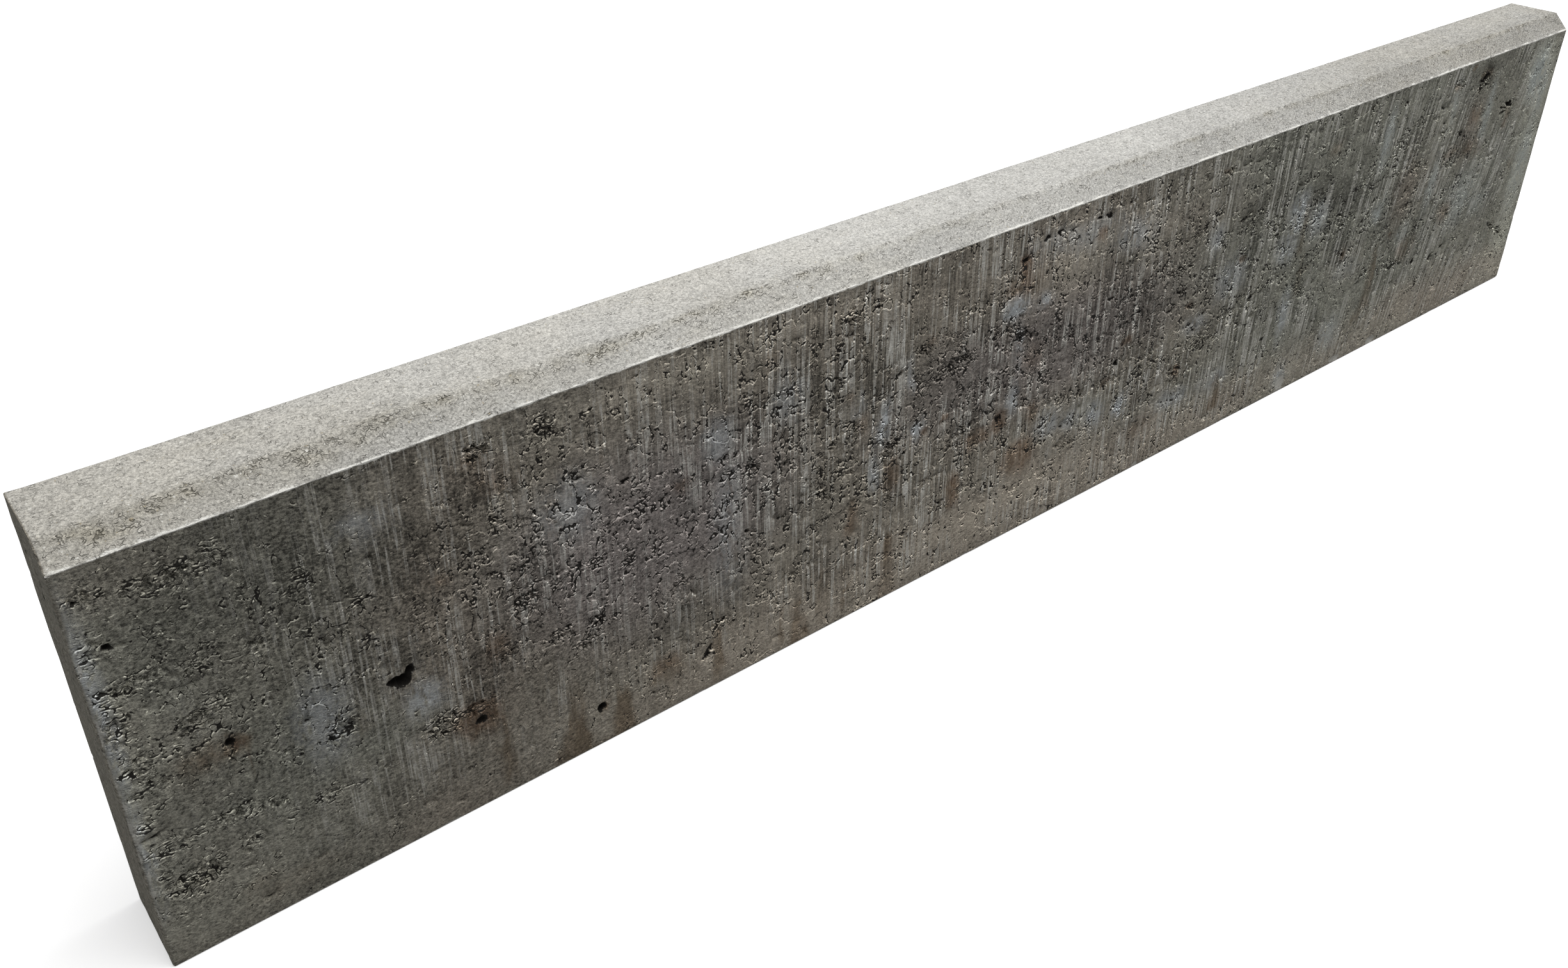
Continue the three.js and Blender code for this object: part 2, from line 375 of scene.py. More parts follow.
# %% Torn pockets
POCKETS = [
    # along, girth, half width, half height, tilt, depth
    (103, 150, 3, 1.5, 20, 1.6), (69, 142, 4, 1.5, 60, 1.6), (7, 67, 7, 1.2, 8, 1.6),
    (127, 113, 4, 2, 45, 1.2), (116, 32, 2, 2, 0, 1.0), (55, 16, 2.5, 1, 0, 1.0),
    (123, 25, 1, 1.5, 0, 1.4), (127, 25, 1, 1.5, 0, 1.4), (131, 25, 1, 1.5, 0, 1.4),
    (125, 10, 2.5, 1, -20, 1.2), (37, 40, 2, 1.2, 0, 1.6), (58, 106, 0.9, 0.9, 0, 1.5),
    (151, 166, 0.9, 0.9, 0, 1.5), (167, 76, 6, 5, 0, 0.9), (160, 20, 3, 1.5, 0, 1.0),
    (202, 38, 2, 2, 0, 1.5), (217, 137, 3, 2, 0, 2.0), (448, 161, 2, 1.5, 0, 1.8),
    (458, 170, 3, 1.8, 0, 2.4), (472, 178, 3.5, 2.5, 0, 1.8), (482, 178, 3, 2.3, 0, 2.0),
    (492, 177, 4, 2, 10, 1.5), (452, 124, 5, 3, 0, 1.3), (463, 122, 4, 3, 0, 1.3),
    (270, 120, 3, 2, 0, 1.4), (300, 101, 5, 1.5, 0, 1.2), (325, 104, 4, 3, 0, 1.3),
    (262, 118, 4, 2.5, 0, 1.2), (317, 77, 6, 3, 0, 1.0), (300, 82, 3, 1.2, -10, 1.6),
    (347, 81, 1.3, 1.2, 0, 2.4), (393, 93, 2.5, 2, 0, 1.4), (405, 95, 3, 1.6, -10, 1.5),
    (447, 82, 3.5, 3, 0, 2.0), (463, 83, 4, 1.5, -15, 1.4), (398, 64, 12, 1.4, 0, 1.5),
    (442, 62, 6, 1.4, 0, 1.3), (418, 57, 1.6, 1.2, 0, 1.8), (407, 45, 4, 2, 10, 1.6),
    (438, 46, 3, 1.5, 0, 1.4), (498, 45, 3, 2.5, 0, 1.6), (342, 57, 1.8, 1.4, 0, 1.8),
    (315, 7, 3, 1.2, -20, 1.3), (512, 178, 2, 1.8, 0, 2.0), (520, 178, 4, 2.4, 0, 2.0),
    (537, 181, 4, 1.6, 0, 1.5), (552, 178, 6, 1.6, 0, 1.2), (573, 177, 6, 1.4, 0, 1.3),
    (542, 161, 1.4, 0.9, 0, 2.2), (605, 177, 3, 1.6, 0, 1.5), (620, 178, 5, 2, 0, 1.5),
    (637, 178, 5, 1.8, 0, 1.4), (650, 177, 6, 1.6, 5, 1.4), (660, 181, 3, 1.5, 0, 1.3),
    (542, 143, 5, 1.6, -30, 1.5), (567, 145, 3, 1.6, 0, 1.6), (617, 152, 4, 2.5, -25, 1.5),
    (608, 147, 3, 2, -30, 1.5), (645, 143, 8, 1.6, 12, 1.6), (545, 122, 6, 1.4, 0, 1.3),
    (566, 122, 4, 1.4, 0, 1.5), (557, 109, 2, 1.7, 0, 2.5), (592, 111, 4, 1.8, -15, 1.8),
    (528, 105, 5, 1.5, -15, 1.4), (535, 72, 6, 2.5, -8, 1.3), (513, 73, 4, 3, -30, 1.5),
    (548, 92, 5, 3, -20, 1.4), (603, 99, 3, 1.5, 0, 1.5), (648, 116, 3, 3, 0, 1.4),
    (682, 122, 2, 1.3, -30, 2.2), (611, 80, 1.6, 1.2, 0, 2.2), (607, 86, 4, 2.5, 0, 1.4),
    (647, 82, 10, 2, 8, 1.5), (665, 85, 4, 2, 20, 1.8), (675, 100, 3, 1.8, 0, 1.4),
    (687, 150, 1.2, 0.9, 0, 2.0), (698, 150, 3, 1.2, -25, 1.6), (725, 118, 3, 2.2, 0, 1.4),
    (732, 110, 7, 3, 0, 1.2), (735, 95, 3, 2, 40, 1.8), (748, 118, 3, 3, 0, 1.6),
    (733, 75, 2, 1.5, 0, 1.8), (722, 50, 2.5, 2, 30, 1.8), (743, 45, 3, 2.5, 0, 1.4),
    (667, 15, 3, 1.3, -35, 2.0), (551, 36, 3, 1.4, 30, 1.3), (803, 180, 3, 1.8, 0, 1.8),
    (833, 183, 2.4, 1, 60, 1.6), (903, 170, 4, 1.6, -15, 2.0), (949, 177, 3, 2, 0, 1.4),
    (883, 141, 3, 2.5, -30, 2.0), (939, 133, 1.4, 1.2, 0, 2.4), (943, 127, 2, 1.6, 0, 1.6),
    (788, 117, 3, 1.6, 20, 2.2), (840, 114, 1.6, 1.5, 0, 2.0), (873, 122, 2, 1.6, 0, 1.5),
    (933, 114, 6, 1.6, 0, 1.3), (988, 117, 3, 1.5, 0, 1.3), (762, 86, 2.2, 2.0, 0, 3.0),
    (807, 84, 1.7, 1.7, 0, 2.6), (812, 81, 1.3, 1.3, 0, 2.2), (890, 83, 1.5, 1.3, 0, 2.2),
    (859, 54, 2.5, 3, 0, 2.2), (882, 50, 4, 3, 50, 1.6), (896, 55, 5, 1.4, 8, 1.8),
    (911, 55, 3, 1.2, 30, 1.8), (890, 42, 1.4, 1.2, 0, 2.2), (805, 18, 2, 1.4, -30, 1.6),
    (788, 12, 2, 1.2, -40, 1.6), (880, 12, 2, 1.5, 50, 1.4), (980, 43, 6, 1.6, -30, 2.0),
    (962, 53, 5, 1.4, -35, 2.0), (869, 155, 1.4, 1.2, 0, 1.6), (817, 160, 1.0, 1.0, 0, 1.8),
    (809, 160, 1.0, 1.0, 0, 1.8), (803, 168, 0.9, 0.9, 0, 1.8), (761, 184, 1.6, 1.2, 0, 1.6),
    (928, 182, 1.6, 1.2, 0, 1.6), (937, 147, 8, 1.2, -15, 1.8), (936, 144, 5, 0.9, 0, 2.0),
]
print(len(POCKETS), "torn pockets")

# %% Carving the big marks
carved = blank_map.copy()

hole_shade = blank_map.copy()
for a, g, wide, high, deep, tilt in BLOW_HOLES:
    area = stamp_area(a, g, max(wide, high))
    u, v = around(area, a, g, wide / 2, high / 2, tilt, shaken=0.55)
    hole = deep * np.sqrt(np.clip(1 - u * u - v * v, 0, 1))
    carved[area] = np.maximum(carved[area], hole)
    # The disc inside each blow-hole is kept apart, for the painted shadow inside it.
    hole_shade[area] = np.maximum(hole_shade[area], ease(1.38, 1.05, u * u + v * v))


def tear(a, g, half_wide, half_high, tilt, deep):
    """Cut one pocket, gentle above and steep at its lower lip."""
    area = stamp_area(a, g, 1.6 * max(half_wide, half_high) + 2)
    u, v = around(area, a, g, half_wide, half_high, tilt, shaken=min(1.4, 0.8 * half_high))
    inside = 1 - u * u - v * v
    pocket = deep * ease(0, 0.45, inside) * np.clip(0.62 - 0.5 * v, 0.15, 1)
    carved[area] = np.maximum(carved[area], pocket)


for pocket in POCKETS:
    tear(*pocket)

opened = blank_map.copy()
for a, g, half_wide, half_high, tilt, openness in HONEYCOMB:
    area = stamp_area(a, g, 1.9 * max(half_wide, half_high) + 3)
    u, v = around(area, a, g, half_wide, half_high, tilt, shaken=2.4)
    opened[area] = np.maximum(opened[area], openness * ease(1.8, 0.4, np.hypot(u, v)))
print("deepest cut", carved.max().round(1), "mm")

# %% [markdown]
# ## Where the skin tore
#
# Between the big marks the skin is torn all over, most in the middle of the height, where the
# concrete was stiffest, and hardly at all near the bed, where it was wettest. `torn` is a soft map
# of that, and the small random pockets and flakes follow it. The back is the front's twin, so its
# own map is the same kind of band, mirrored over the top.

# %% Torn zones
TORN_ZONES = [
    # along, girth, half width, half height, how much
    (60, 120, 70, 70, 0.35), (190, 120, 80, 75, 0.65), (320, 115, 90, 80, 1.0),
    (450, 105, 90, 80, 1.0), (580, 100, 90, 75, 1.0), (700, 105, 80, 75, 0.9),
    (800, 105, 70, 75, 0.8), (880, 100, 70, 75, 0.7), (950, 90, 50, 75, 0.45),
]


def cloud(a, g, half_wide, half_high):
    """A soft round patch over the whole map, 1 at its middle."""
    d = np.hypot((along - a + 6 * shake_far_u) / half_wide, (girth - g + 6 * shake_far_v) / half_high)
    return ease(1.3, 0.3, d)


on_front = ease(-1, 2, girth) * ease(FRONT_TOP + 0.5, FRONT_TOP - 1, girth)
on_back = ease(TOP_BACK - 0.5, TOP_BACK + 1, girth)
height_here = np.where(girth < SPLAY_TOP, girth, BACK_FOOT - girth)
torn = (0.12 + 0.28 * ease(150, 300, along)) * on_front
torn = torn + on_back * 0.85 * ease(15, 60, height_here) * ease(198, 160, height_here)
for a, g, half_wide, half_high, amount in TORN_ZONES:
    torn = np.maximum(torn, amount * cloud(a, g, half_wide, half_high) * on_front)
print("torn on", round(100 * float((torn > 0.5).mean())), "% of the skin")

# %% Random pockets
POCKET_TRIES = 17000
ON_FRONT_SHARE = 0.55

rng = np.random.default_rng(31)
kept = 0
for _ in range(POCKET_TRIES):
    a = rng.uniform(2, LENGTH - 2)
    on_the_front = rng.random() < ON_FRONT_SHARE
    g = rng.uniform(3, FRONT_TOP - 3) if on_the_front else rng.uniform(TOP_BACK + 3, BACK_FOOT - 3)
    half_wide = 0.7 + rng.gamma(1.6, 0.6)
    half_high = half_wide * rng.uniform(0.35, 0.7)
    tilt = rng.normal(0, 25)
    deep = rng.uniform(0.3, 1.0) * min(1.8, 0.5 + 0.5 * half_wide)
    chance = torn[int(a / PITCH), int((g + THICKNESS) / PITCH)] + 0.06
    if rng.random() < 0.42 * chance:
        tear(a, g, half_wide, half_high, tilt, deep)
        kept += 1
print(kept, "small pockets")

# %% Crevices, flakes and flow
side_lumps = rough_noise(along / 2.2 + 0.2 * shake_u, girth / 1.8 + 0.2 * shake_v, 21, 2)
top_lumps = rough_map(1.4, 1.1, 22, 2)


def crevices(openness, deepest, lumps):
    """Cut between the lumps: nothing at openness 0, scattered pits at 0.5, honeycomb at 1."""
    return deepest * (0.3 + 0.7 * openness) * ease(0, 0.24, 1.12 * openness - 1 - lumps)


opened *= 1 - 0.18 * ease(160, 60, along) * ease(150, 165, girth)
torn *= 1 - 0.3 * ease(650, 800, along)
patchy_torn = torn * np.clip(0.55 + 0.75 * rough_map(11, 8, 40, 2), 0.15, 1)
opened = np.maximum(opened, 0.32 * patchy_torn)
flakes = ease(0.14, 0.26, rough_noise(along / 8 + 0.5 * shake_u, girth / 5 + 0.4 * shake_v, 41, 3))
rows = ease(0.1, 0.5, rough_map(1.5, 26, 44, 2))
swell = 0.22 * (1 + rough_map(80, 45, 47, 2))
moulded_relief = swell + 0.10 * rows * (0.3 + torn) + 0.5 * flakes * patchy_torn
moulded_relief = moulded_relief + crevices(opened, 1.7, side_lumps)
print("sides carved to", moulded_relief.max().round(2), "mm")

# %% [markdown]
# ## The pressed top
#
# The shoe that pressed the top and the splay left a sandy face: every grain shows. Along the fold
# between them, and in a ragged band below it, the paste was dragged away and the grains stand open.
# The splay's lower edge was squeezed into a thin burr.

# %% Top and splay
OPEN_BAND = [
    # along, girth, half length, half width, how open
    (30, 200.5, 34, 3.8, 0.7), (50, 201.0, 9, 2.4, 0.65), (68, 200.5, 7, 2.4, 0.8),
    (110, 201.5, 46, 3.0, 0.6), (143, 202.8, 8, 1.6, 0.9), (180, 201.0, 40, 3.0, 0.5),
    (217, 199.5, 13, 3.6, 0.85), (256, 202.3, 12, 1.8, 0.85), (288, 203.2, 8, 1.4, 0.9),
    (300, 201.8, 60, 2.4, 0.5), (321, 202.5, 7, 1.8, 0.85), (354, 202.8, 7, 1.6, 0.85),
    (420, 202.6, 80, 1.8, 0.5), (560, 203.0, 90, 1.6, 0.55), (591, 203.2, 10, 1.4, 0.9),
    (663, 203.2, 7, 1.6, 1.0), (720, 203.2, 90, 1.5, 0.65), (853, 203.4, 5, 1.6, 0.9),
    (900, 203.4, 100, 1.6, 0.75), (22, 197.0, 10, 3.0, 0.8), (95, 197.5, 26, 2.5, 0.6),
    (125, 205.5, 40, 1.6, 0.5), (300, 206.0, 22, 1.5, 0.4), (70, 225.0, 16, 2.5, 0.35),
    (60, 202.0, 60, 3.2, 0.6), (200, 201.8, 90, 2.6, 0.55), (400, 202.8, 120, 1.6, 0.5),
]
sandy = ease(FRONT_TOP - 0.5, FRONT_TOP + 0.5, girth) * ease(TOP_BACK + 0.5, TOP_BACK - 0.5, girth)
on_splay = ease(FRONT_TOP + 1, FRONT_TOP + 4, girth) * ease(SPLAY_TOP + 0.5, SPLAY_TOP - 0.5, girth)
open_grain = blank_map + 0.1 * sandy + 0.12 * on_splay
for a, g, half_long, half_wide, openness in OPEN_BAND:
    d = np.hypot((along - a + 2 * shake_far_u) / half_long, (girth - g + 1.2 * shake_v) / half_wide)
    open_grain = np.maximum(open_grain, openness * ease(1.4, 0.4, d))
open_grain *= sandy * (0.65 + 0.5 * rough_map(5, 3, 51, 2))
top_relief = 0.2 + 0.12 * rough_map(1.6, 1.5, 52, 2) + 0.06 * rough_map(30, 12, 54)
top_relief = top_relief + 0.25 * open_grain + crevices(np.clip(open_grain, 0, 1), 0.8, top_lumps)

burr = ease(1.2, 0.4, np.abs(girth - FRONT_TOP - 0.2 + 0.35 * smooth_noise(along / 3.1, 0 * girth, 55)))
burr = burr * np.clip(0.75 + 0.5 * rough_noise(along / 5, 0 * girth, 56, 2), 0.2, 1)
on_sand = ease(FRONT_TOP, FRONT_TOP + 0.5, girth) * ease(TOP_BACK, TOP_BACK - 0.5, girth)
relief = carved + moulded_relief + (top_relief - moulded_relief) * on_sand
relief = relief * (1 - 0.9 * burr)
print("top carved to", top_relief.max().round(2), "mm")

# %% Chips along the bottom and the near edge
CHIPS = [
    # along, girth, half width, half height, depth
    (0, 118, 2.0, 5, 1.2), (0, 107, 1.6, 3, 1.0), (0, 99, 2.2, 4, 1.2), (0, 93, 1.5, 2, 1.0),
    (0, 60, 1.5, 3, 0.8), (0, 30, 1.2, 3, 0.8), (718, 6, 6, 7, 0.8), (782, 3, 7, 3, 0.9),
    (825, 3, 6, 4, 1.0), (573, 1, 3, 3, 0.8), (1000, 52, 3, 4, 1.5), (660, 0, 4, 2, 1.0),
    (905, 0, 6, 1.5, 1.0), (430, 0, 5, 1.5, 0.9), (250, 0, 4, 1.5, 0.8), (120, 0, 5, 1.5, 0.8),
    (1, 75, 1.6, 5, 0.5), (1, 86, 1.3, 4, 0.5), (2, 68, 1.2, 3, 0.4), (1, 124, 1.4, 6, 0.5),
    (1, 136, 1.1, 4, 0.4), (2, 49, 1.1, 4, 0.4), (1, 40, 1.2, 3, 0.4), (1, 150, 1.0, 5, 0.4),
]
# Worn edges and chips, and the burr, which the material paints pale as a highlight.
worn_and_lit_burr = 0.9 * burr + 0.75 * ease(1.6, 0.2, girth + 0.5 * shake_v) * ease(-3, -0.5, girth) * (0.4 + 0.6 * rows)
for a, g, half_wide, half_high, deep in CHIPS:
    area = stamp_area(a, g, 1.5 * max(half_wide, half_high) + 2)
    u, v = around(area, a, g, half_wide, half_high)
    chip = ease(1.1, 0.6, np.hypot(u, v))
    relief[area] = np.maximum(relief[area], deep * chip)
    worn_and_lit_burr[area] = np.maximum(worn_and_lit_burr[area], 0.9 * chip)
print("relief to", relief.max().round(2), "mm")

# %% [markdown]
# ## Stains
#
# Damp, rust and lime came later. Iron in the aggregate rusts round the holes and bleeds down.
# Rain runs leave brown and olive drips that widen towards the ground. Lime blooms bluish white
# where water came out of the skin. Each is a list of soft patches, and each has a map of its own.
# Girths above the top's are on the back, where the list goes on.

# %% Rust
RUST = [
    # along, girth, half width, half height, strength
    (458, 169, 5, 6, 1.0), (455, 155, 15, 9, 0.5), (516, 167, 5, 6, 0.8), (446, 79, 7, 7, 1.0),
    (430, 75, 15, 7, 0.6), (371, 76, 9, 12, 0.6), (345, 60, 6, 13, 0.45), (415, 49, 7, 14, 0.6),
    (465, 50, 16, 13, 0.7), (475, 75, 8, 9, 0.5), (138, 50, 12, 10, 0.9), (138, 49, 5.5, 6, 1.0),
    (150, 82, 8, 12, 0.5), (41, 93, 6, 6, 1.0), (30, 92, 16, 9, 0.45), (160, 161, 12, 8, 0.5),
    (148, 172, 12, 7, 0.35), (130, 126, 9, 6, 0.35), (197, 21, 4, 4, 0.6), (233, 27, 10, 8, 0.5),
    (245, 122, 8, 5, 0.45), (204, 153, 3, 2, 0.7), (393, 93, 3, 3, 0.7), (406, 96, 4, 3, 0.7),
    (548, 92, 6, 4, 0.7), (535, 73, 6, 4, 0.4), (600, 57, 4, 4, 0.8), (603, 99, 4, 2.5, 0.6),
    (568, 27, 16, 9, 0.3), (763, 86, 5, 5, 0.5), (898, 177, 8, 5, 0.7), (879, 186, 3, 1.6, 0.9),
    (897, 150, 10, 9, 0.45), (903, 126, 16, 8, 0.45), (874, 127, 14, 6, 0.4), (943, 139, 5, 9, 0.5),
    (966, 98, 5, 6, 0.35), (885, 84, 12, 10, 0.45), (843, 68, 14, 12, 0.45), (865, 177, 7, 4, 0.5),
    (648, 116, 4, 4, 0.6), (620, 178, 6, 3, 0.4), (728, 165, 10, 7, 0.35), (470, 110, 14, 12, 0.3),
    (55, 12, 30, 8, 0.25), (40, 20, 12, 5, 0.3), (395, 145, 6, 5, 0.35), (350, 112, 5, 7, 0.4),
    (340, 132, 5, 4, 0.4), (296, 168, 8, 6, 0.35), (720, 87, 8, 4, 0.25), (818, 83, 4, 3, 0.6),
    (120, 290, 9, 7, 0.7), (205, 355, 6, 6, 0.9), (212, 368, 8, 16, 0.45), (340, 275, 10, 7, 0.5),
    (455, 325, 5, 5, 0.8), (470, 338, 12, 14, 0.45), (610, 300, 8, 6, 0.6), (640, 385, 12, 9, 0.5),
    (735, 350, 6, 5, 0.8), (820, 285, 9, 8, 0.5), (905, 330, 7, 6, 0.7), (60, 395, 12, 8, 0.45),
]
print(len(RUST), "rust spots")

# %% Drips
DRIPS = [
    # along, top, foot, half width at the foot, strength
    (149, 48, 4, 5, 0.7), (184, 42, 0, 7, 0.9), (180, 20, 0, 9, 0.6), (228, 36, 18, 7, 0.55),
    (238, 34, 17, 5, 0.5), (300, 34, 3, 2.5, 0.55), (327, 42, 4, 6, 0.4), (341, 34, 8, 1.6, 0.7),
    (371, 42, 0, 7, 0.8), (345, 76, 52, 4, 0.45), (416, 60, 38, 5, 0.55), (644, 41, 14, 6, 0.85),
    (663, 40, 12, 2, 0.6), (804, 82, 34, 7, 0.9), (797, 38, 27, 6, 0.7), (470, 172, 140, 4, 0.5),
    (448, 150, 120, 3, 0.3), (710, 140, 100, 4, 0.5), (715, 100, 70, 5, 0.4), (20, 60, 20, 6, 0.2),
    (107, 84, 64, 4, 0.3), (208, 30, 0, 8, 0.7), (262, 36, 2, 6, 0.6), (312, 30, 0, 7, 0.6),
    (560, 70, 45, 5, 0.3), (965, 60, 30, 5, 0.3), (92, 85, 68, 5, 0.35),
]
print(len(DRIPS), "drips")

# %% Lime
LIME = [
    # along, girth, half width, half height, strength
    (116, 74, 9, 9, 0.5), (75, 85, 12, 24, 0.3), (105, 166, 12, 5, 0.25), (266, 138, 9, 13, 0.35),
    (306, 145, 13, 14, 0.25), (270, 90, 10, 40, 0.25), (190, 135, 16, 18, 0.25), (452, 144, 11, 7, 0.8),
    (475, 142, 9, 5, 0.5), (346, 124, 5, 6, 0.5), (365, 108, 5, 12, 0.6), (359, 82, 4, 12, 0.5),
    (389, 97, 5, 5, 0.7), (381, 130, 3, 12, 0.4), (458, 118, 4, 16, 0.4), (455, 88, 6, 7, 0.5),
    (488, 62, 12, 9, 0.4), (528, 53, 8, 9, 0.55), (548, 52, 7, 8, 0.6), (505, 58, 9, 8, 0.35),
    (600, 37, 20, 8, 0.35), (640, 38, 18, 7, 0.3), (620, 135, 8, 8, 0.35), (640, 105, 16, 16, 0.3),
    (702, 130, 10, 16, 0.6), (695, 110, 12, 14, 0.4), (705, 60, 7, 20, 0.5), (612, 84, 14, 8, 0.3),
    (725, 120, 12, 14, 0.4), (788, 158, 7, 24, 0.5), (796, 108, 7, 9, 0.6), (770, 75, 18, 10, 0.2),
    (858, 110, 6, 22, 0.5), (866, 165, 4, 20, 0.4), (913, 150, 5, 26, 0.5), (907, 90, 22, 26, 0.35),
    (975, 164, 16, 22, 0.8), (985, 95, 12, 42, 0.5), (835, 80, 10, 8, 0.35), (930, 80, 16, 10, 0.3),
    (765, 28, 14, 14, 0.4), (715, 12, 9, 8, 0.5), (545, 160, 24, 10, 0.35), (496, 172, 40, 9, 0.25),
    (2, 130, 5, 50, 0.5), (2, 60, 4, 40, 0.35), (985, 150, 10, 30, 0.5),
    (90, 330, 14, 22, 0.4), (250, 310, 10, 16, 0.6), (380, 350, 18, 18, 0.4), (530, 290, 12, 20, 0.5),
    (575, 360, 16, 12, 0.45), (700, 320, 9, 24, 0.5), (790, 370, 18, 14, 0.35), (950, 300, 14, 26, 0.5),
]
print(len(LIME), "lime patches")

# %% [markdown]
# ## Light and dark, brown and green
#
# The paste itself changes over a few centimetres. Where the concrete was wetter or was rubbed
# harder by the steel it dried lighter, and where it tore it stays dark. Different sand and damp
# turn it browner or greener. Soft patches that are added up say both.

# %% Lighter and darker places
LIGHTER = [
    # along, girth, half width, half height, how much lighter (or darker, below 0)
    (60, 165, 60, 24, -0.3), (45, 140, 45, 20, -0.15), (125, 140, 30, 30, -0.25), (170, 110, 16, 18, -0.3),
    (95, 105, 12, 14, -0.3), (20, 45, 30, 18, -0.15), (250, 50, 35, 10, -0.25), (345, 140, 40, 20, -0.15),
    (412, 117, 40, 20, -0.3), (475, 125, 30, 14, -0.35), (540, 112, 60, 26, -0.45), (440, 96, 26, 10, -0.4),
    (505, 168, 75, 12, 0.3), (460, 25, 90, 12, 0.3), (300, 18, 70, 12, 0.1), (560, 28, 22, 10, -0.3),
    (692, 143, 60, 14, -0.4), (755, 128, 45, 12, -0.45), (655, 115, 16, 14, -0.25), (715, 85, 10, 20, -0.25),
    (755, 95, 16, 12, -0.3), (815, 105, 16, 26, -0.25), (885, 130, 40, 10, -0.3), (950, 95, 14, 44, -0.3),
    (845, 72, 22, 12, -0.2), (960, 55, 10, 20, -0.25), (890, 178, 26, 7, -0.3), (640, 165, 60, 18, -0.1),
    (975, 164, 18, 22, 0.5), (988, 90, 14, 50, 0.35), (830, 168, 50, 16, 0.15), (225, 90, 40, 50, 0.05),
    (730, 40, 40, 22, -0.1), (30, 8, 40, 6, 0.1),
    (180, 320, 40, 24, -0.25), (400, 300, 50, 18, -0.3), (660, 340, 46, 26, -0.3), (860, 350, 40, 24, -0.2),
    (300, 405, 90, 16, 0.3), (720, 410, 110, 14, 0.3), (540, 260, 120, 9, 0.2), (960, 340, 20, 60, 0.3),
    (75, 186, 75, 4, -0.25), (575, 60, 40, 10, -0.2), (900, 178, 5, 4, -0.4), (600, 100, 30, 20, -0.1),
    (75, 95, 9, 9, -0.2), (112, 100, 12, 14, -0.35), (145, 70, 14, 22, -0.3), (152, 160, 14, 12, -0.25),
    (100, 38, 10, 9, -0.15), (65, 58, 16, 10, -0.15), (250, 118, 12, 12, -0.35), (230, 150, 12, 12, -0.2),
    (292, 92, 7, 12, -0.25), (330, 36, 12, 12, -0.3), (372, 70, 14, 20, -0.35), (360, 124, 8, 12, -0.35),
    (425, 82, 16, 10, -0.35), (480, 84, 10, 10, -0.3), (460, 173, 8, 7, -0.35), (518, 172, 10, 8, -0.3),
    (545, 145, 12, 12, -0.2), (596, 142, 20, 16, -0.35), (652, 128, 12, 20, -0.2), (567, 50, 12, 12, -0.2),
    (520, 80, 20, 9, -0.25), (630, 76, 16, 8, -0.3), (680, 74, 12, 10, -0.2), (742, 45, 12, 10, -0.25),
    (755, 118, 8, 14, -0.2), (770, 156, 10, 14, -0.25), (816, 148, 14, 24, -0.3), (806, 90, 9, 14, -0.2),
    (865, 95, 8, 10, -0.2), (896, 122, 14, 8, -0.35), (888, 150, 8, 14, -0.3), (860, 184, 14, 5, -0.3),
    (900, 175, 10, 10, -0.25), (275, 180, 85, 9, 0.4), (300, 50, 14, 30, 0.2), (490, 152, 18, 12, 0.3),
    (560, 161, 20, 10, 0.35), (605, 68, 14, 6, 0.35), (718, 16, 20, 12, 0.25), (862, 150, 10, 20, 0.3),
    (930, 95, 18, 20, 0.35), (985, 40, 12, 34, 0.5), (978, 165, 20, 28, 0.65), (985, 100, 12, 30, 0.4),
    (218, 180, 26, 8, 0.35), (20, 28, 45, 40, 0.25), (8, 110, 16, 70, 0.15), (80, 45, 40, 26, 0.1),
    (3, 110, 7, 80, 0.4), (985, 150, 16, 40, 0.35), (988, 95, 12, 40, 0.15),
    (290, 140, 60, 12, -0.15), (620, 110, 26, 34, -0.2), (375, 98, 22, 12, -0.2), (420, 80, 26, 9, -0.15),
    (555, 80, 30, 10, -0.15), (340, 178, 50, 9, 0.25), (775, 178, 40, 8, 0.2), (475, 160, 22, 10, 0.2),
    (95, 75, 110, 70, -0.13), (572, 62, 22, 34, -0.2), (680, 60, 40, 12, -0.12),
]
print(len(LIGHTER), "lighter or darker places")

# %% Browner and greener places
WARMER = [
    # along, girth, half width, half height, how much browner (or greener, below 0)
    (105, 68, 25, 14, -0.6), (60, 62, 25, 20, -0.4), (25, 130, 12, 14, -0.3), (520, 60, 20, 10, -0.5),
    (730, 115, 10, 14, -0.3), (150, 165, 14, 12, 0.6), (465, 165, 7, 25, 0.8), (265, 95, 6, 60, 0.4),
    (820, 110, 16, 40, 1.0), (850, 180, 10, 6, 0.8), (560, 160, 30, 10, 0.3), (475, 50, 10, 20, 0.7),
    (895, 25, 90, 26, 0.6), (770, 80, 30, 20, 0.7), (845, 110, 30, 26, 0.7), (445, 60, 7, 10, 0.5),
    (575, 25, 16, 12, 0.4), (895, 135, 16, 30, 0.8), (130, 120, 16, 50, 0.4), (145, 60, 16, 30, 0.5),
    (500, 197, 160, 6, -0.5), (480, 335, 260, 60, 0.8), (260, 400, 90, 20, 0.6), (760, 300, 70, 30, 0.5),
]
print(len(WARMER), "browner or greener places")

# %% Stain maps
def stain_map(patches):
    """A map of the strongest patch at each place, with broken edges."""
    total = blank_map.copy()
    for a, g, half_wide, half_high, strength in patches:
        area = stamp_area(a, g, 1.7 * max(half_wide, half_high) + 8)
        du = (along[area[0]] - a + 3 * shake_far_u[area] + shake_u[area]) / half_wide
        dv = (girth[:, area[1]] - g + 3 * shake_far_v[area] + shake_v[area]) / half_high
        total[area] = np.maximum(total[area], strength * ease(1.35, 0.15, np.hypot(du, dv)))
    return total


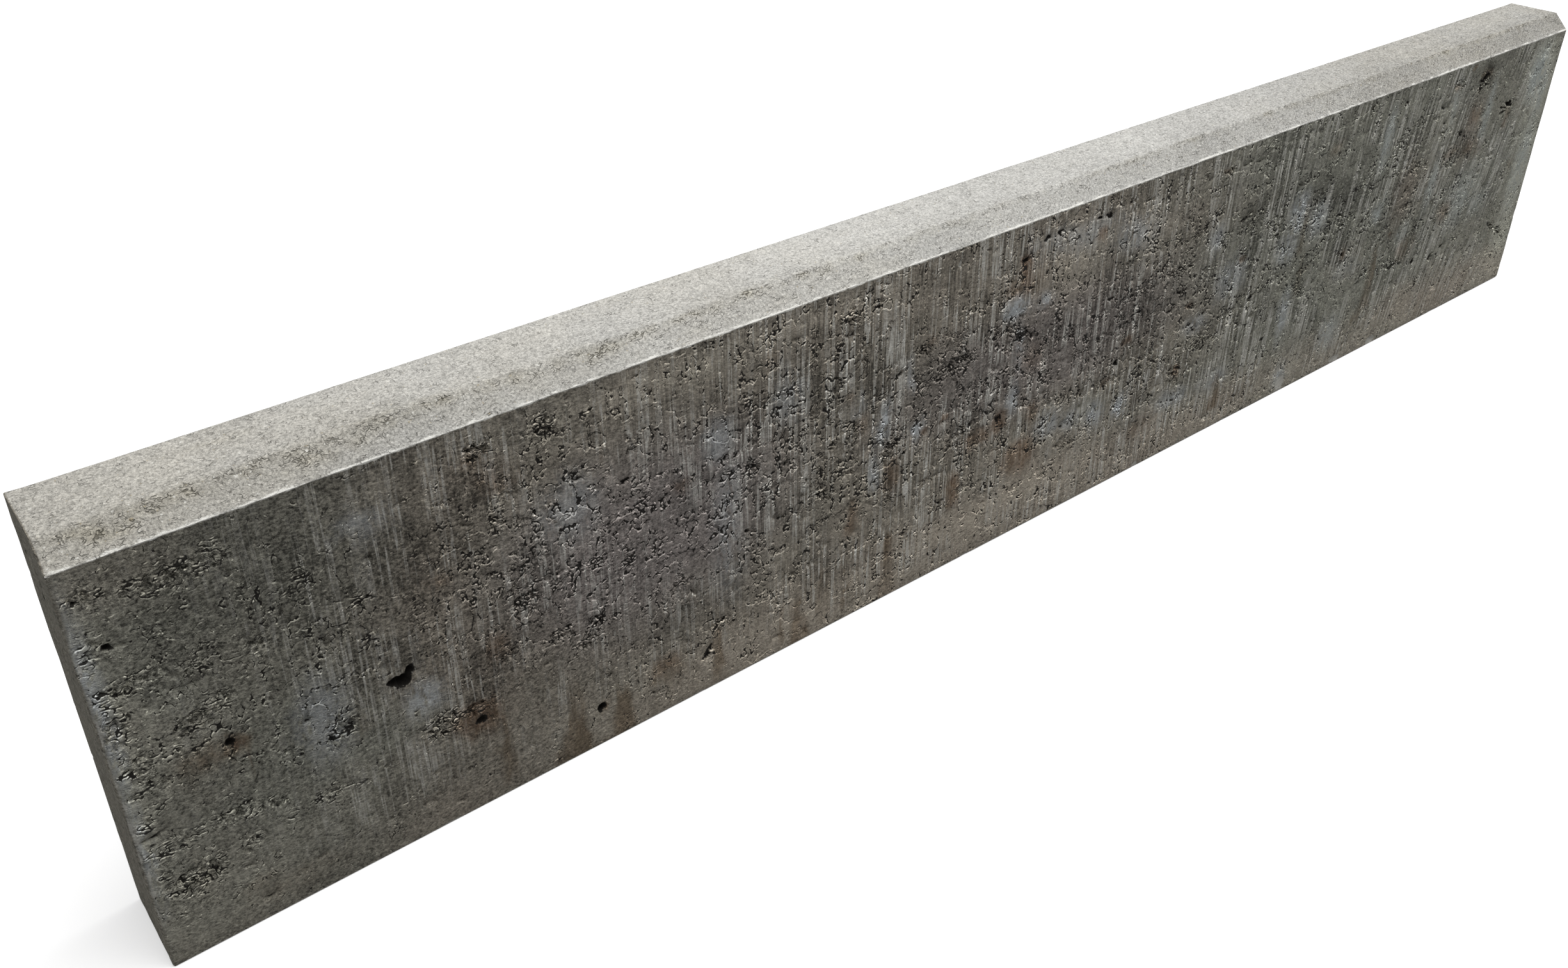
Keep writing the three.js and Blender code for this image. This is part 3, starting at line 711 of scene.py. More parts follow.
rust = stain_map(RUST)
lime = stain_map(LIME)
drips = blank_map.copy()
for a, high, foot, half_wide, strength in DRIPS:
    area = stamp_area(a, (high + foot) / 2, (high - foot) / 2 + 8)
    down = np.clip((high - girth[:, area[1]]) / (high - foot), 0, 1)
    width = half_wide * (0.35 + 0.65 * down)
    aside = np.abs(along[area[0]] - a + 0.8 * shake_u[area] + 2 * shake_far_u[area]) / width
    ends = ease(foot - 2, foot + 1, girth[:, area[1]]) * ease(high + 3, high - 5, girth[:, area[1]])
    drips[area] = np.maximum(drips[area], strength * ends * ease(1.15, 0.75, aside))
print("stains on", round(100 * float(((rust + lime + drips) > 0.15).mean())), "% of the skin")

# %% Tone, warmth and drag
def clouds(patches):
    """A map of all the soft patches, added up."""
    return sum(patch[4] * cloud(*patch[:4]) for patch in patches)


tone = 0.2 * rough_map(40, 28, 61) * (1 + on_back) + clouds(LIGHTER)
tone += on_front * (0.14 * ease(220, 450, along) - 0.15 + 0.3 * ease(45, 15, girth) * ease(100, 220, along))
tone += on_front * (0.17 * ease(80, 50, girth) * ease(170, 270, along) + 0.32 * ease(935, 975, along))
on_top = 1 - on_front - on_back
tone += on_top * (0.32 * ease(0, 260, along) - 0.48 * ease(500, 850, along) - 0.16 * ease(224, 206, girth))
tone += on_splay * (0.12 * ease(20, 250, along) - 0.05)
tone -= on_splay * (0.16 * ease(400, 560, along) - 0.08 * ease(640, 800, along))
warmth = 0.4 * rough_map(60, 30, 64) - 0.3 + clouds(WARMER)
warmth += on_front * (0.8 * ease(70, 130, along) - 1.2 * ease(520, 700, along))
warmth += on_front * 0.9 * ease(45, 12, girth) * ease(200, 300, along)
warmth += on_top * (0.8 * ease(160, 0, along) - 0.7 * ease(200, 500, along) + 0.9 * ease(650, 850, along))
dragged = on_front * ease(5, 40, girth + 22 * ease(280, 400, along))
dragged = dragged * (0.2 + 0.8 * ease(35, 100, along) * ease(1000, 940, along))
dragged = dragged * (0.6 + 0.4 * ease(210, 340, along))
dragged = dragged * ease(-0.3, 0.4, 0.25 + rough_map(26, 30, 67)) + 0.5 * on_back
mauve = on_front * np.maximum(cloud(230, 105, 85, 55), 0.75 * cloud(480, 112, 130, 36))
print("tone from", tone.min().round(2), "to", tone.max().round(2))

# %% [markdown]
# ## The ends
#
# The butt ends were against a flat steel plate that wasn't drawn past them, so they are smooth:
# a slight swell, a scatter of small pits, and nothing dragged.

# %% End maps
END_PITS = 120

across = np.arange(0, THICKNESS + PITCH, PITCH)[:, None]
upright = np.arange(0, HEIGHT + PITCH, PITCH)[None, :]


def end_map(seed):
    """Depths over one butt end, from its front edge and up from the bed."""
    depth = 0.2 * (1 + rough_noise(across / 22, upright / 40, seed, 3))
    depth = depth + 0.10 * ease(0.2, 0.5, rough_noise(across / 4, upright / 6, seed + 5, 2))
    rng = np.random.default_rng(seed)
    for _ in range(END_PITS):
        a, g, r = rng.uniform(0, THICKNESS), rng.uniform(0, HEIGHT), 0.4 + rng.gamma(1.5, 0.35)
        d = np.hypot(across - a, upright - g) / r
        depth = np.maximum(depth, 0.9 * r * ease(1, 0.3, d))
    return depth


left_end, right_end = end_map(71), end_map(81)
print("ends carved to", left_end.max().round(2), "and", right_end.max().round(2), "mm")

# %% Carving the skin
def read_map(values, u, v, u_start=0.0, v_start=0.0):
    """Values of a map at places u, v in mm, with straight blends between its cells."""
    fu = np.clip((u - u_start) / PITCH, 0, values.shape[0] - 1.001)
    fv = np.clip((v - v_start) / PITCH, 0, values.shape[1] - 1.001)
    iu, iv = fu.astype(int), fv.astype(int)
    fu, fv = fu - iu, fv - iv
    low = values[iu, iv] * (1 - fu) + values[iu + 1, iv] * fu
    high = values[iu, iv + 1] * (1 - fu) + values[iu + 1, iv + 1] * fu
    return low * (1 - fv) + high * fv


from_left = x + LENGTH / 2
over = np.select(
    [j == 0, k == nz - 1, j == ny - 1],
    [z, np.where(y < FRONT + SPLAY, FRONT_TOP + (y - FRONT) * math.sqrt(2), SPLAY_TOP + y - FRONT - SPLAY),
     TOP_BACK + HEIGHT - z],
    FRONT - y)


def on_sides(values):
    """A map's values at the points of the skin."""
    return read_map(values, from_left, over, 0.0, -THICKNESS)


end_share = outward[:, 0] ** 2
end_depth = np.where(x < 0, read_map(left_end, y - FRONT, z), read_map(right_end, y - FRONT, z))
depth = on_sides(relief) * (1 - end_share) + end_depth * end_share
depth *= 1 - 0.85 * ease(1.5, 0.2, z) * ease(0.5, 0.9, -outward[:, 2])
points = skin - outward * depth[:, None]
points[:, 2] = np.maximum(points[:, 2], 0)
print("carved spans", np.ptp(points, axis=0).round(3))

# %% Mesh
def mesh_of(points, quads, name):
    """A Blender mesh from numpy arrays in mm."""
    mesh = bpy.data.meshes.new(name)
    mesh.vertices.add(len(points))
    mesh.vertices.foreach_set("co", (points * MM).astype(np.float32).ravel())
    mesh.loops.add(quads.size)
    mesh.loops.foreach_set("vertex_index", quads.astype(np.int32).ravel())
    mesh.polygons.add(len(quads))
    mesh.polygons.foreach_set("loop_start", np.arange(0, quads.size, 4, dtype=np.int32))
    mesh.update(calc_edges=True)
    return mesh


def paint(mesh, name, values):
    """Keep one value per point under a name that the material can read."""
    layer = mesh.attributes.new(name, "FLOAT", "POINT")
    layer.data.foreach_set("value", values.astype(np.float32))


DEEP = 0.8

kerb = new_object("kerb", mesh_of(points, quads, "kerb"))
side_share = 1 - end_share
side_maps = {
    "opened": opened, "torn": patchy_torn,
    "rust": rust, "lime": lime, "drips": drips,
    "tone": tone, "warmth": warmth, "mauve": mauve, "dragged": dragged,
}
for name, values in side_maps.items():
    paint(kerb.data, name, on_sides(values) * side_share)

paint(kerb.data, "open_grain", np.clip(on_sides(open_grain), 0, 1) * side_share)
# Where the cuts are deep the material paints shadow, so this map marks them.
deep_on_sides = np.maximum(np.clip(on_sides(carved) - DEEP, 0, 1), on_sides(hole_shade)) * side_share
deep_on_ends = np.clip(end_depth - DEEP, 0, 1) * end_share
paint(kerb.data, "cut_shade", np.maximum(deep_on_sides, deep_on_ends))
on_corner = ease(0.15, 0.6, np.minimum(end_share, side_share))
paint(kerb.data, "worn_and_lit_burr", np.maximum(on_sides(worn_and_lit_burr), 0.5 * knock * on_corner))
print("mesh", len(kerb.data.vertices), "points")

# %% [markdown]
# ## Thinning
#
# The carved skin has a face every 0.7 mm. The Decimate modifier merges the faces where the surface is
# flat and keeps them round pits and edges, and it carries the painted values along. It may push a
# point out by a few thousandths of a millimetre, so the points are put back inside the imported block.

# %% Thin and shade
TRIANGLES = 195_000
SHARP_ANGLE = 42

thin = kerb.modifiers.new("thin", "DECIMATE")
thin.ratio = TRIANGLES / (2 * len(quads))
kerb.data = bpy.data.meshes.new_from_object(kerb.evaluated_get(bpy.context.evaluated_depsgraph_get()))
kerb.modifiers.clear()
spots = np.empty(3 * len(kerb.data.vertices), dtype=np.float32)
kerb.data.vertices.foreach_get("co", spots)
spots = np.clip(spots.reshape(-1, 3), cad_box[0], cad_box[1])
kerb.data.vertices.foreach_set("co", spots.astype(np.float32).ravel())
kerb.data.polygons.foreach_set("use_smooth", np.ones(len(kerb.data.polygons), dtype=bool))
kerb.data.set_sharp_from_angle(angle=math.radians(SHARP_ANGLE))
print("kerb", len(kerb.data.polygons), "faces")

# %% [markdown]
# ## Building materials from nodes
#
# Concrete has no colour of its own so much as a stack of them: paste, sand, stone dust, lime and
# rust. Each is easy to say as "mix this in where that mask is strong", so a small helper class
# keeps the node code as short as that sentence. All patterns are measured in mm on the kerb itself.

# %% Node helper
class Nodes:
    """Adds nodes to one tree. Every value may be a number, a colour or another node's output."""

    def __init__(self, tree):
        self.tree = tree

    def add(self, kind, **settings):
        made = self.tree.nodes.new("ShaderNode" + kind)
        for name, value in settings.items():
            setattr(made, name, value)
        return made

    def feed(self, socket, value):
        if isinstance(value, bpy.types.NodeSocket):
            self.tree.links.new(value, socket)
        else:
            socket.default_value = value

    def feed_all(self, made, values):
        for socket, value in zip(made.inputs, values):
            self.feed(socket, value)
        return made.outputs[0]

    def math(self, operation, *values):
        return self.feed_all(self.add("Math", operation=operation), values)

    def vector(self, operation, *values):
        return self.feed_all(self.add("VectorMath", operation=operation), values)

    def group(self, tree, **values):
        """The outputs of a node group, placed here with its inputs fed by name."""
        made = self.add("Group", node_tree=tree)
        for name, value in values.items():
            self.feed(made.inputs[name], value)
        return made.outputs

    def sum(self, *values):
        total = values[0]
        for value in values[1:]:
            total = self.math("ADD", total, value)
        return total

    def times(self, *values):
        total = values[0]
        for value in values[1:]:
            total = self.math("MULTIPLY", total, value)
        return total

    def swing(self, noise, strength):
        """A noise made to swing up and down from 0, strength times as far as it did from 0.5."""
        return self.times(self.sum(noise, -0.5), strength)

    def step(self, value, low, high, start=0.0, end=1.0):
        """From start to end as value goes from low to high, with a smooth step."""
        made = self.add("MapRange", interpolation_type="SMOOTHSTEP")
        for name, number in (("Value", value), ("From Min", low), ("From Max", high)):
            self.feed(made.inputs[name], number)
        self.feed(made.inputs["To Min"], start)
        self.feed(made.inputs["To Max"], end)
        return made.outputs["Result"]

    def mix(self, share, a, b, blend="MIX"):
        """Colour a with b mixed in by share."""
        made = self.add("Mix", data_type="RGBA", blend_type=blend)
        self.feed(made.inputs["Factor"], share)
        for letter, colour in (("A", a), ("B", b)):
            self.feed(next(s for s in made.inputs if s.type == "RGBA" and s.name == letter), colour)
        return next(socket for socket in made.outputs if socket.type == "RGBA")

    def scale(self, vector, factor):
        """A place or a colour, each of its three numbers multiplied by a factor."""
        made = self.add("VectorMath", operation="SCALE")
        self.feed(made.inputs[0], vector)
        self.feed(made.inputs["Scale"], factor)
        return made.outputs["Vector"]

    def shade(self, share, colour, factor):
        """The colour, made factor times as bright by share."""
        return self.mix(share, colour, self.scale(colour, factor))

    def noise(self, place, size, detail=2.0, roughness=0.5, shift=(0.0, 0.0, 0.0)):
        """Noise from 0 to 1, mostly from 0.3 to 0.7. Size is its features' length along x, y and z, in mm."""
        per_mm = tuple(1 / s for s in size)
        made = self.add("TexNoise")
        self.feed(made.inputs["Vector"], self.vector("MULTIPLY_ADD", place, per_mm, shift))
        made.inputs["Scale"].default_value = 1.0
        made.inputs["Detail"].default_value = detail
        made.inputs["Roughness"].default_value = roughness
        return made.outputs["Fac"]

    def painted(self, name):
        """The values that paint() kept on the mesh."""
        return self.add("Attribute", attribute_name=name).outputs["Fac"]


def new_group(name, inputs, outputs):
    """An empty node group: its helper, and by name the values given to it and the ones it makes."""
    tree = bpy.data.node_groups.new(name, "ShaderNodeTree")
    for socket_name in inputs:
        kind = "NodeSocketVector" if socket_name == "Place" else "NodeSocketFloat"
        tree.interface.new_socket(socket_name, in_out="INPUT", socket_type=kind)
    for socket_name in outputs:
        tree.interface.new_socket(socket_name, in_out="OUTPUT", socket_type="NodeSocketFloat")
    return Nodes(tree), tree.nodes.new("NodeGroupInput").outputs, tree.nodes.new("NodeGroupOutput").inputs


# %% [markdown]
# ## Drag lines
#
# The steel mould scored the sides upwards as it was lifted. The lines are two or three millimetres
# apart and a few centimetres long, pale where paste was smeared and dark where it was scraped away.
# Noise that is squeezed along the kerb and drawn out upwards has that shape, and a narrow step out
# of its middle turns its hills into separate scratches.

# %% Drag group
SCRATCH_SIZE = (1.7, 1.7, 55.0)
BRUSHED_SIZE = (6.0, 6.0, 50.0)
SCORED_SIZE = (13.0, 13.0, 24.0)

group, given, made = new_group("drag_lines", ["Place"], ["Light", "Dark", "Soft"])
fine = group.noise(given["Place"], SCRATCH_SIZE, detail=1.0)
wide = group.noise(given["Place"], BRUSHED_SIZE, detail=1.0, shift=(7.0, 3.0, 5.0))
patches = group.noise(given["Place"], SCORED_SIZE, roughness=0.6, shift=(1.0, 2.0, 3.0))
both = group.sum(group.times(fine, 0.8), group.times(wide, 0.2))
scored = group.step(patches, 0.34, 0.54, 0.3, 1.0)
ridge = group.times(group.step(both, 0.535, 0.55), group.step(both, 0.64, 0.575, 0.25, 1.0))
groove = group.times(group.step(both, 0.46, 0.445), group.step(both, 0.36, 0.425, 0.3, 1.0))
group.feed(made["Light"], group.times(ridge, scored))
group.feed(made["Dark"], group.times(groove, scored))
group.feed(made["Soft"], wide)
drag_group = group.tree
print("drag group", len(drag_group.nodes), "nodes")

# %% [markdown]
# ## Crevices
#
# Where paste is short the grains keep their own shape, and gaps wind between them, darkened as
# painted shade. Noise has a contour at its middle value that winds round its hills in just that way,
# so a crevice is wherever the noise is near that value: the nearer it must be, the thinner the
# crevice. The openness, broken up by a wider noise, says how near. The same crevice looked for about
# half a millimetre higher up gives its lower lip, which faces the light and is painted lighter as a
# highlight.

# %% Crevice group
GRAIN_SIZE = (3.7, 3.7, 2.2)
SPREAD_SIZE = (8.0, 8.0, 4.0)
SPREAD = 3.2
WIDEST_GAP = 0.072
LIP_MM = 0.55

group, given, made = new_group("crevices", ["Place", "Openness"], ["Dark", "Lip Highlight", "Dip"])
spread = group.noise(given["Place"], SPREAD_SIZE, roughness=0.6, shift=(4.0, 7.0, 1.0))
room = group.sum(given["Openness"], group.swing(spread, SPREAD))
half_gap = group.step(room, 0.2, 1.5, -0.02, WIDEST_GAP)


def gap_at(lift):
    """How far inside a crevice a place is, looking lift mm higher up."""
    shift = (0.0, 0.0, lift / GRAIN_SIZE[2])
    grains = group.noise(given["Place"], GRAIN_SIZE, detail=1.3, roughness=0.45, shift=shift)
    return group.math("SUBTRACT", half_gap, group.math("ABSOLUTE", group.sum(grains, -0.5)))


gap_here = gap_at(0.0)
in_gap = group.step(gap_here, -0.01, 0.02)
in_gap_above = group.step(gap_at(LIP_MM), -0.01, 0.02)
# Dark is where a gap gets painted shade, and Lip is where its lower lip gets a painted highlight.
group.feed(made["Dark"], in_gap)
group.feed(made["Lip Highlight"], group.times(in_gap_above, group.math("SUBTRACT", 1.0, in_gap)))
group.feed(made["Dip"], group.step(gap_here, -0.03, 0.05))
crevice_group = group.tree
print("crevice group", len(crevice_group.nodes), "nodes")

# %% [markdown]
# ## Ledges
#
# Stiff concrete that sticks to the moving mould comes away in thin flakes. What stays is a smooth
# skin whose upper edge is ragged: each upright column of the drag ends a few millimetres higher or
# lower than its neighbour, like fingers. So noise of a flake's shape and noise of a column's shape
# are added, and the skin is wherever the sum is above its middle. Just below the middle the
# concrete is torn rough. Comparing here with a little higher up tells the skin's lip, which gets a
# painted highlight, from the strip under it, which gets a painted shadow.

# %% Ledge group
FLAKE_SIZE = (20.0, 20.0, 10.0)
COLUMN_SIZE = (3.8, 3.8, 26.0)
SKIN_LEVEL = 0.5
SKIN_LIFT = 0.6
LEAST_REACH, MOST_REACH = 0.012, 0.095

group, given, made = new_group("ledges", ["Place", "Torn"], ["Skin", "Under Shadow", "Lip Highlight", "Rough"])


def flakes_at(lift):
    """The noise that the skin is cut from, looking lift mm higher up."""
    shift = (5.0, 8.0, 1.0 + lift / FLAKE_SIZE[2])
    flakes = group.noise(given["Place"], FLAKE_SIZE, detail=4.0, roughness=0.55, shift=shift)
    columns = group.noise(given["Place"], COLUMN_SIZE, detail=1.0, shift=(3.0, 2.0, 6.0))
    return group.sum(group.times(flakes, 0.64), group.times(columns, 0.36))


def skin_of(flakes):
    """1 on the skin and 0 off it."""
    return group.step(flakes, SKIN_LEVEL - 0.005, SKIN_LEVEL + 0.005)


flakes_here = flakes_at(0.0)
skin_here = skin_of(flakes_here)
change = group.math("SUBTRACT", skin_of(flakes_at(SKIN_LIFT)), skin_here)
short_of_skin = group.math("SUBTRACT", SKIN_LEVEL, flakes_here)
reach = group.step(given["Torn"], 0.0, 0.8, LEAST_REACH, MOST_REACH)
below_skin = group.step(short_of_skin, -0.004, 0.004)
group.feed(made["Skin"], skin_here)
# Under gets a painted shadow below each ledge's edge, and Lip a painted highlight on that edge.
group.feed(made["Under Shadow"], group.step(change, 0.15, 0.8))
group.feed(made["Lip Highlight"], group.step(change, -0.15, -0.8))
group.feed(made["Rough"], group.times(below_skin, group.step(short_of_skin, reach, group.times(reach, 0.5))))
ledge_group = group.tree
print("ledge group", len(ledge_group.nodes), "nodes")

# %% [markdown]
# ## Concrete
#
# One material covers the whole kerb, because the real finishes run into each other. The sides and
# ends were moulded: grey paste, browner or greener from place to place. The top and the splay were
# pressed: pale sand. The border between them is drawn from the height above the bed. Everything
# else follows the maps: bared grains, cuts, drag lines, lime, rust, drips and worn edges. The mould
# came off leaning a little towards the right end, so the drawn-out patterns lean there too.

# %% Concrete: where things are
RAGGED_SIZE = (1.6, 1.6, 1.6)
RAGGED_MM = 1.2
LEAN_FROM = 50
MOST_LEAN = 0.22

concrete = bpy.data.materials.new("concrete")
concrete.use_nodes = True
nodes = Nodes(concrete.node_tree)
shader = concrete.node_tree.nodes["Principled BSDF"]

place = nodes.scale(nodes.add("TexCoord").outputs["Object"], 1 / MM)
where = nodes.add("SeparateXYZ")
nodes.feed(where.inputs[0], place)
at_x, at_y, at_z = where.outputs
leaning = nodes.add("CombineXYZ")
nodes.feed(leaning.inputs["X"], nodes.times(at_z, nodes.step(at_x, LEAN_FROM, LENGTH / 2, 0.0, MOST_LEAN)))
drawn = nodes.vector("SUBTRACT", place, leaning.outputs["Vector"])

ragged_z = nodes.sum(at_z, nodes.swing(nodes.noise(place, RAGGED_SIZE), RAGGED_MM))
above = nodes.step(ragged_z, FRONT_TOP - 0.7, FRONT_TOP - 0.3)
inside_ends = nodes.step(nodes.math("ABSOLUTE", at_x), LENGTH / 2 - 0.5, LENGTH / 2 - 1.0)
before_back = nodes.step(at_y, BACK - 0.4, BACK - 0.9)
pressed = nodes.times(above, inside_ends, before_back)
off_top = nodes.math("SUBTRACT", 1.0, pressed)

cut_shade, opened_here, open_here, torn_raw, dragged_here, mauve_here = map(
    nodes.painted, ("cut_shade", "opened", "open_grain", "torn", "dragged", "mauve"))
rust_here, lime_here, drips_here, worn_and_lit_burr_here, tone_here, warmth_here = map(
    nodes.painted, ("rust", "lime", "drips", "worn_and_lit_burr", "tone", "warmth"))
torn_here = nodes.math("MINIMUM", nodes.times(torn_raw, 1.4), 1.0)
print(len(concrete.node_tree.nodes), "nodes so far")

# %% [markdown]
# ### Grains, crevices and ledges
#
# Concrete is grain at every size, from sand that is hardly seen to lumps of a few millimetres. Each
# size is one noise, made once and used again for colour and for relief, so that a grain that is
# paler is also the one that stands out. The three node groups are placed here, and the crevices
# twice: once round bared grains, and once, drawn out upright, inside the tears.

# %% Concrete: grains at several sizes
mottle = nodes.noise(place, (7, 7, 9), detail=4.0, roughness=0.6)
grit = nodes.noise(place, (1.6, 1.6, 1.1), detail=3.0, roughness=0.85, shift=(3.0, 1.0, 2.0))
lump = nodes.noise(place, (2.4, 2.4, 2.0), detail=3.0, roughness=0.65, shift=(1.0, 6.0, 8.0))
sand = nodes.noise(place, (1.1, 1.1, 1.1), detail=3.0, roughness=0.85, shift=(13.0, 1.0, 2.0))
curls = nodes.noise(place, (4.0, 4.0, 2.2), detail=1.5, shift=(9.0, 9.0, 6.0))
broken = nodes.noise(place, (2.2, 2.2, 5.0), detail=3.0, roughness=0.65, shift=(11.0, 5.0, 2.0))
print(len(concrete.node_tree.nodes), "nodes so far")

# %% Concrete: crevices and ledges
CREVICE_SHARE = 0.2
TEAR_SHARE = 1.22
TEAR_FINE = (1.35, 1.35, 0.75)
TOP_OPEN = 0.3
TOP_FINE = 1.7

lines = nodes.group(drag_group, Place=drawn)
ledges = nodes.group(ledge_group, Place=drawn, Torn=torn_here)
rough_here = nodes.times(ledges["Rough"], nodes.step(torn_here, 0.02, 0.2), off_top)
coarse_here = nodes.math("MAXIMUM", rough_here, nodes.step(opened_here, 0.2, 0.6))

# Short curls lie where the grains are bared, each painted lighter on one side as a highlight
# and darker on the other as its shade.
bared = nodes.math("MAXIMUM", coarse_here, nodes.step(pressed, 0.0, 1.0, 0.4, 1.0))
curl_here = nodes.times(nodes.step(broken, 0.42, 0.55), bared)
curl_highlight = nodes.times(nodes.step(curls, 0.495, 0.51), nodes.step(curls, 0.56, 0.54), curl_here)
curl_shade = nodes.times(nodes.step(curls, 0.505, 0.49), nodes.step(curls, 0.43, 0.45), curl_here)

# The top's grains are finer than the sides', and the tears are stretched upright, as the mould moved.
side_open = nodes.sum(CREVICE_SHARE, opened_here)
crevices_here = nodes.group(
    crevice_group,
    Place=nodes.scale(place, nodes.step(pressed, 0.0, 1.0, 1.0, TOP_FINE)),
    Openness=nodes.mix(pressed, side_open, nodes.sum(open_here, TOP_OPEN)))
tears = nodes.group(
    crevice_group,
    Place=nodes.vector("MULTIPLY", drawn, TEAR_FINE),
    Openness=nodes.times(rough_here, TEAR_SHARE))
print(len(concrete.node_tree.nodes), "nodes so far")

# %% [markdown]
# ### Moulded sides
#
# The colour of the sides is built in the order in which it came about. First the paste, greenish,
# brownish or mauve, made lighter or darker by the maps and the grains. Then the drag lines that the
# steel left in it, and the lime, rust and drips of later years. Painted light and shade go on last,
# over all of it: highlights on lips, curls and knobs, and shade under ledges, in gaps and in holes.

# %% Concrete: moulded sides
PASTE_GREEN = (0.185, 0.185, 0.156, 1)
PASTE_WARM = (0.206, 0.184, 0.152, 1)
PASTE_MAUVE = (0.206, 0.185, 0.174, 1)
BRIGHT, DARKEST = 1.20, 0.25
GRIT_SHOWS, LUMP_SHOWS, MOTTLE_SHOWS, SKIN_SHOWS = 4.0, 1.6, 1.1, 0.16

paste = nodes.mix(nodes.step(warmth_here, -1.0, 1.0), PASTE_GREEN, PASTE_WARM)
paste = nodes.mix(nodes.times(mauve_here, 0.95), paste, PASTE_MAUVE)
low_down = nodes.step(at_z, 60, 15)
near_end = nodes.step(at_x, -180, -360)
sandy_here = nodes.math("MAXIMUM", low_down, near_end)
grain = nodes.times(
    nodes.sum(nodes.swing(grit, GRIT_SHOWS), nodes.swing(lump, LUMP_SHOWS)),
    nodes.step(coarse_here, 0.0, 1.0, 0.75, 1.3),
    nodes.step(sandy_here, 0.0, 1.0, 1.0, 1.35))
on_ledge = nodes.times(nodes.sum(ledges["Skin"], -0.5), torn_here, SKIN_SHOWS)
brightness = nodes.sum(BRIGHT, tone_here, nodes.swing(mottle, MOTTLE_SHOWS), grain, on_ledge)
paste = nodes.scale(paste, nodes.math("MAXIMUM", brightness, DARKEST))

speckled = nodes.step(sandy_here, 0.0, 1.0, 0.6, 1.0)
paste = nodes.shade(nodes.times(nodes.step(sand, 0.66, 0.72), speckled, 0.4), paste, 1.7)
# The darkest sand grains are small pits, darkened as painted shade.
paste = nodes.shade(nodes.times(nodes.step(sand, 0.34, 0.28), speckled, 0.5), paste, 0.35)
print(len(concrete.node_tree.nodes), "nodes so far")

# %% Concrete: drag lines on the sides
LINE_PALE = (0.550, 0.540, 0.500, 1)

on_skin = nodes.times(dragged_here, nodes.step(coarse_here, 0.0, 1.0, 1.0, 0.6))
unbroken = nodes.step(broken, 0.36, 0.54, nodes.step(at_x, -280, -120, 0.25, 0.75), 1.0)
light_lines = nodes.times(lines["Light"], on_skin, unbroken, nodes.step(mottle, 0.3, 0.6, 0.65, 1.0))
dark_lines = nodes.times(lines["Dark"], on_skin, unbroken, nodes.step(at_z, 110, 160, 0.8, 1.0))
paste = nodes.mix(light_lines, paste, LINE_PALE)
paste = nodes.shade(dark_lines, paste, 0.32)
print(len(concrete.node_tree.nodes), "nodes so far")

# %% Concrete: stains on the sides
CHALK = (0.42, 0.44, 0.45, 1)
CHALK_GREY = (0.365, 0.388, 0.366, 1)
GREY_FROM, GREY_TO = 150, 350
RUST_WASH = (0.74, 0.62, 0.54, 1)
RUST_BROWN = (0.085, 0.058, 0.040, 1)
DRIP_WASH = (0.54, 0.475, 0.41, 1)

streaked = nodes.sum(broken, nodes.times(lines["Soft"], 0.5))
chalk = nodes.mix(nodes.step(at_x, GREY_FROM, GREY_TO), CHALK, CHALK_GREY)
paste = nodes.mix(nodes.times(lime_here, nodes.step(streaked, 0.5, 0.8), 1.6), paste, chalk)
washed = nodes.times(nodes.step(rust_here, 0.0, 0.6), nodes.step(broken, 0.25, 0.6, 0.5, 1.0))
paste = nodes.mix(washed, paste, RUST_WASH, blend="MULTIPLY")
rusted = nodes.step(nodes.sum(rust_here, nodes.swing(broken, 1.2)), 0.55, 1.0)
paste = nodes.mix(nodes.times(rusted, 0.8), paste, RUST_BROWN)
dripped = nodes.times(nodes.step(drips_here, 0.0, 0.8), nodes.step(lines["Soft"], 0.3, 0.6, 0.5, 1.0))
paste = nodes.mix(dripped, paste, DRIP_WASH, blend="MULTIPLY")
print(len(concrete.node_tree.nodes), "nodes so far")

# %% Concrete: painted highlights and shade on the sides
SHADOW = (0.009, 0.008, 0.007, 1)

# Knobs are bared grains, paler in their own colour and also painted lighter as a highlight on their raised
# tops.
knob_highlight = nodes.times(nodes.step(lump, 0.50, 0.62), nodes.step(opened_here, 0.25, 0.8))
edged = nodes.step(torn_here, 0.05, 0.45)
# Painted highlights on the lower lips of crevices, ledges and tears.
lip_highlight = nodes.math("MAXIMUM", crevices_here["Lip Highlight"], nodes.times(ledges["Lip Highlight"], edged, 0.9))
lip_highlight = nodes.math("MAXIMUM", lip_highlight, tears["Lip Highlight"])
# Painted shade in the gaps, in the tears and in deep holes.
gap_shade = nodes.times(crevices_here["Dark"], nodes.step(side_open, 0.2, 0.9, 0.8, 0.96))
cut_shade_here = nodes.step(nodes.sum(cut_shade, nodes.swing(grit, 1.2)), 0.28, 0.5)
side_colour = paste
for share, strongest, factor in (
        (knob_highlight, 0.5, 1.7), (curl_shade, 0.8, 0.45), (curl_highlight, 0.8, 1.9), (lip_highlight, 0.95, 3.1),
        (nodes.times(ledges["Under Shadow"], edged), 0.85, 0.35)):
    side_colour = nodes.shade(nodes.times(share, strongest), side_colour, factor)
for share in (gap_shade, nodes.times(tears["Dark"], 0.97), nodes.times(cut_shade_here, 0.98)):
    side_colour = nodes.mix(share, side_colour, SHADOW)
print(len(concrete.node_tree.nodes), "nodes so far")

# %% [markdown]
# ### Pressed top and worn edges
#
# The shoe pressed the top and the splay with little paste, so they have the colour of their sand:
# a pale buff, with white and ochre grains in it. Where the grains stand open it is tinted olive and
# darkened as painted shade, with painted shade in the gaps and painted highlights on their lips. The
# two finishes then become one colour, and the worn edges and the burr, painted pale as a highlight,
# go over both.

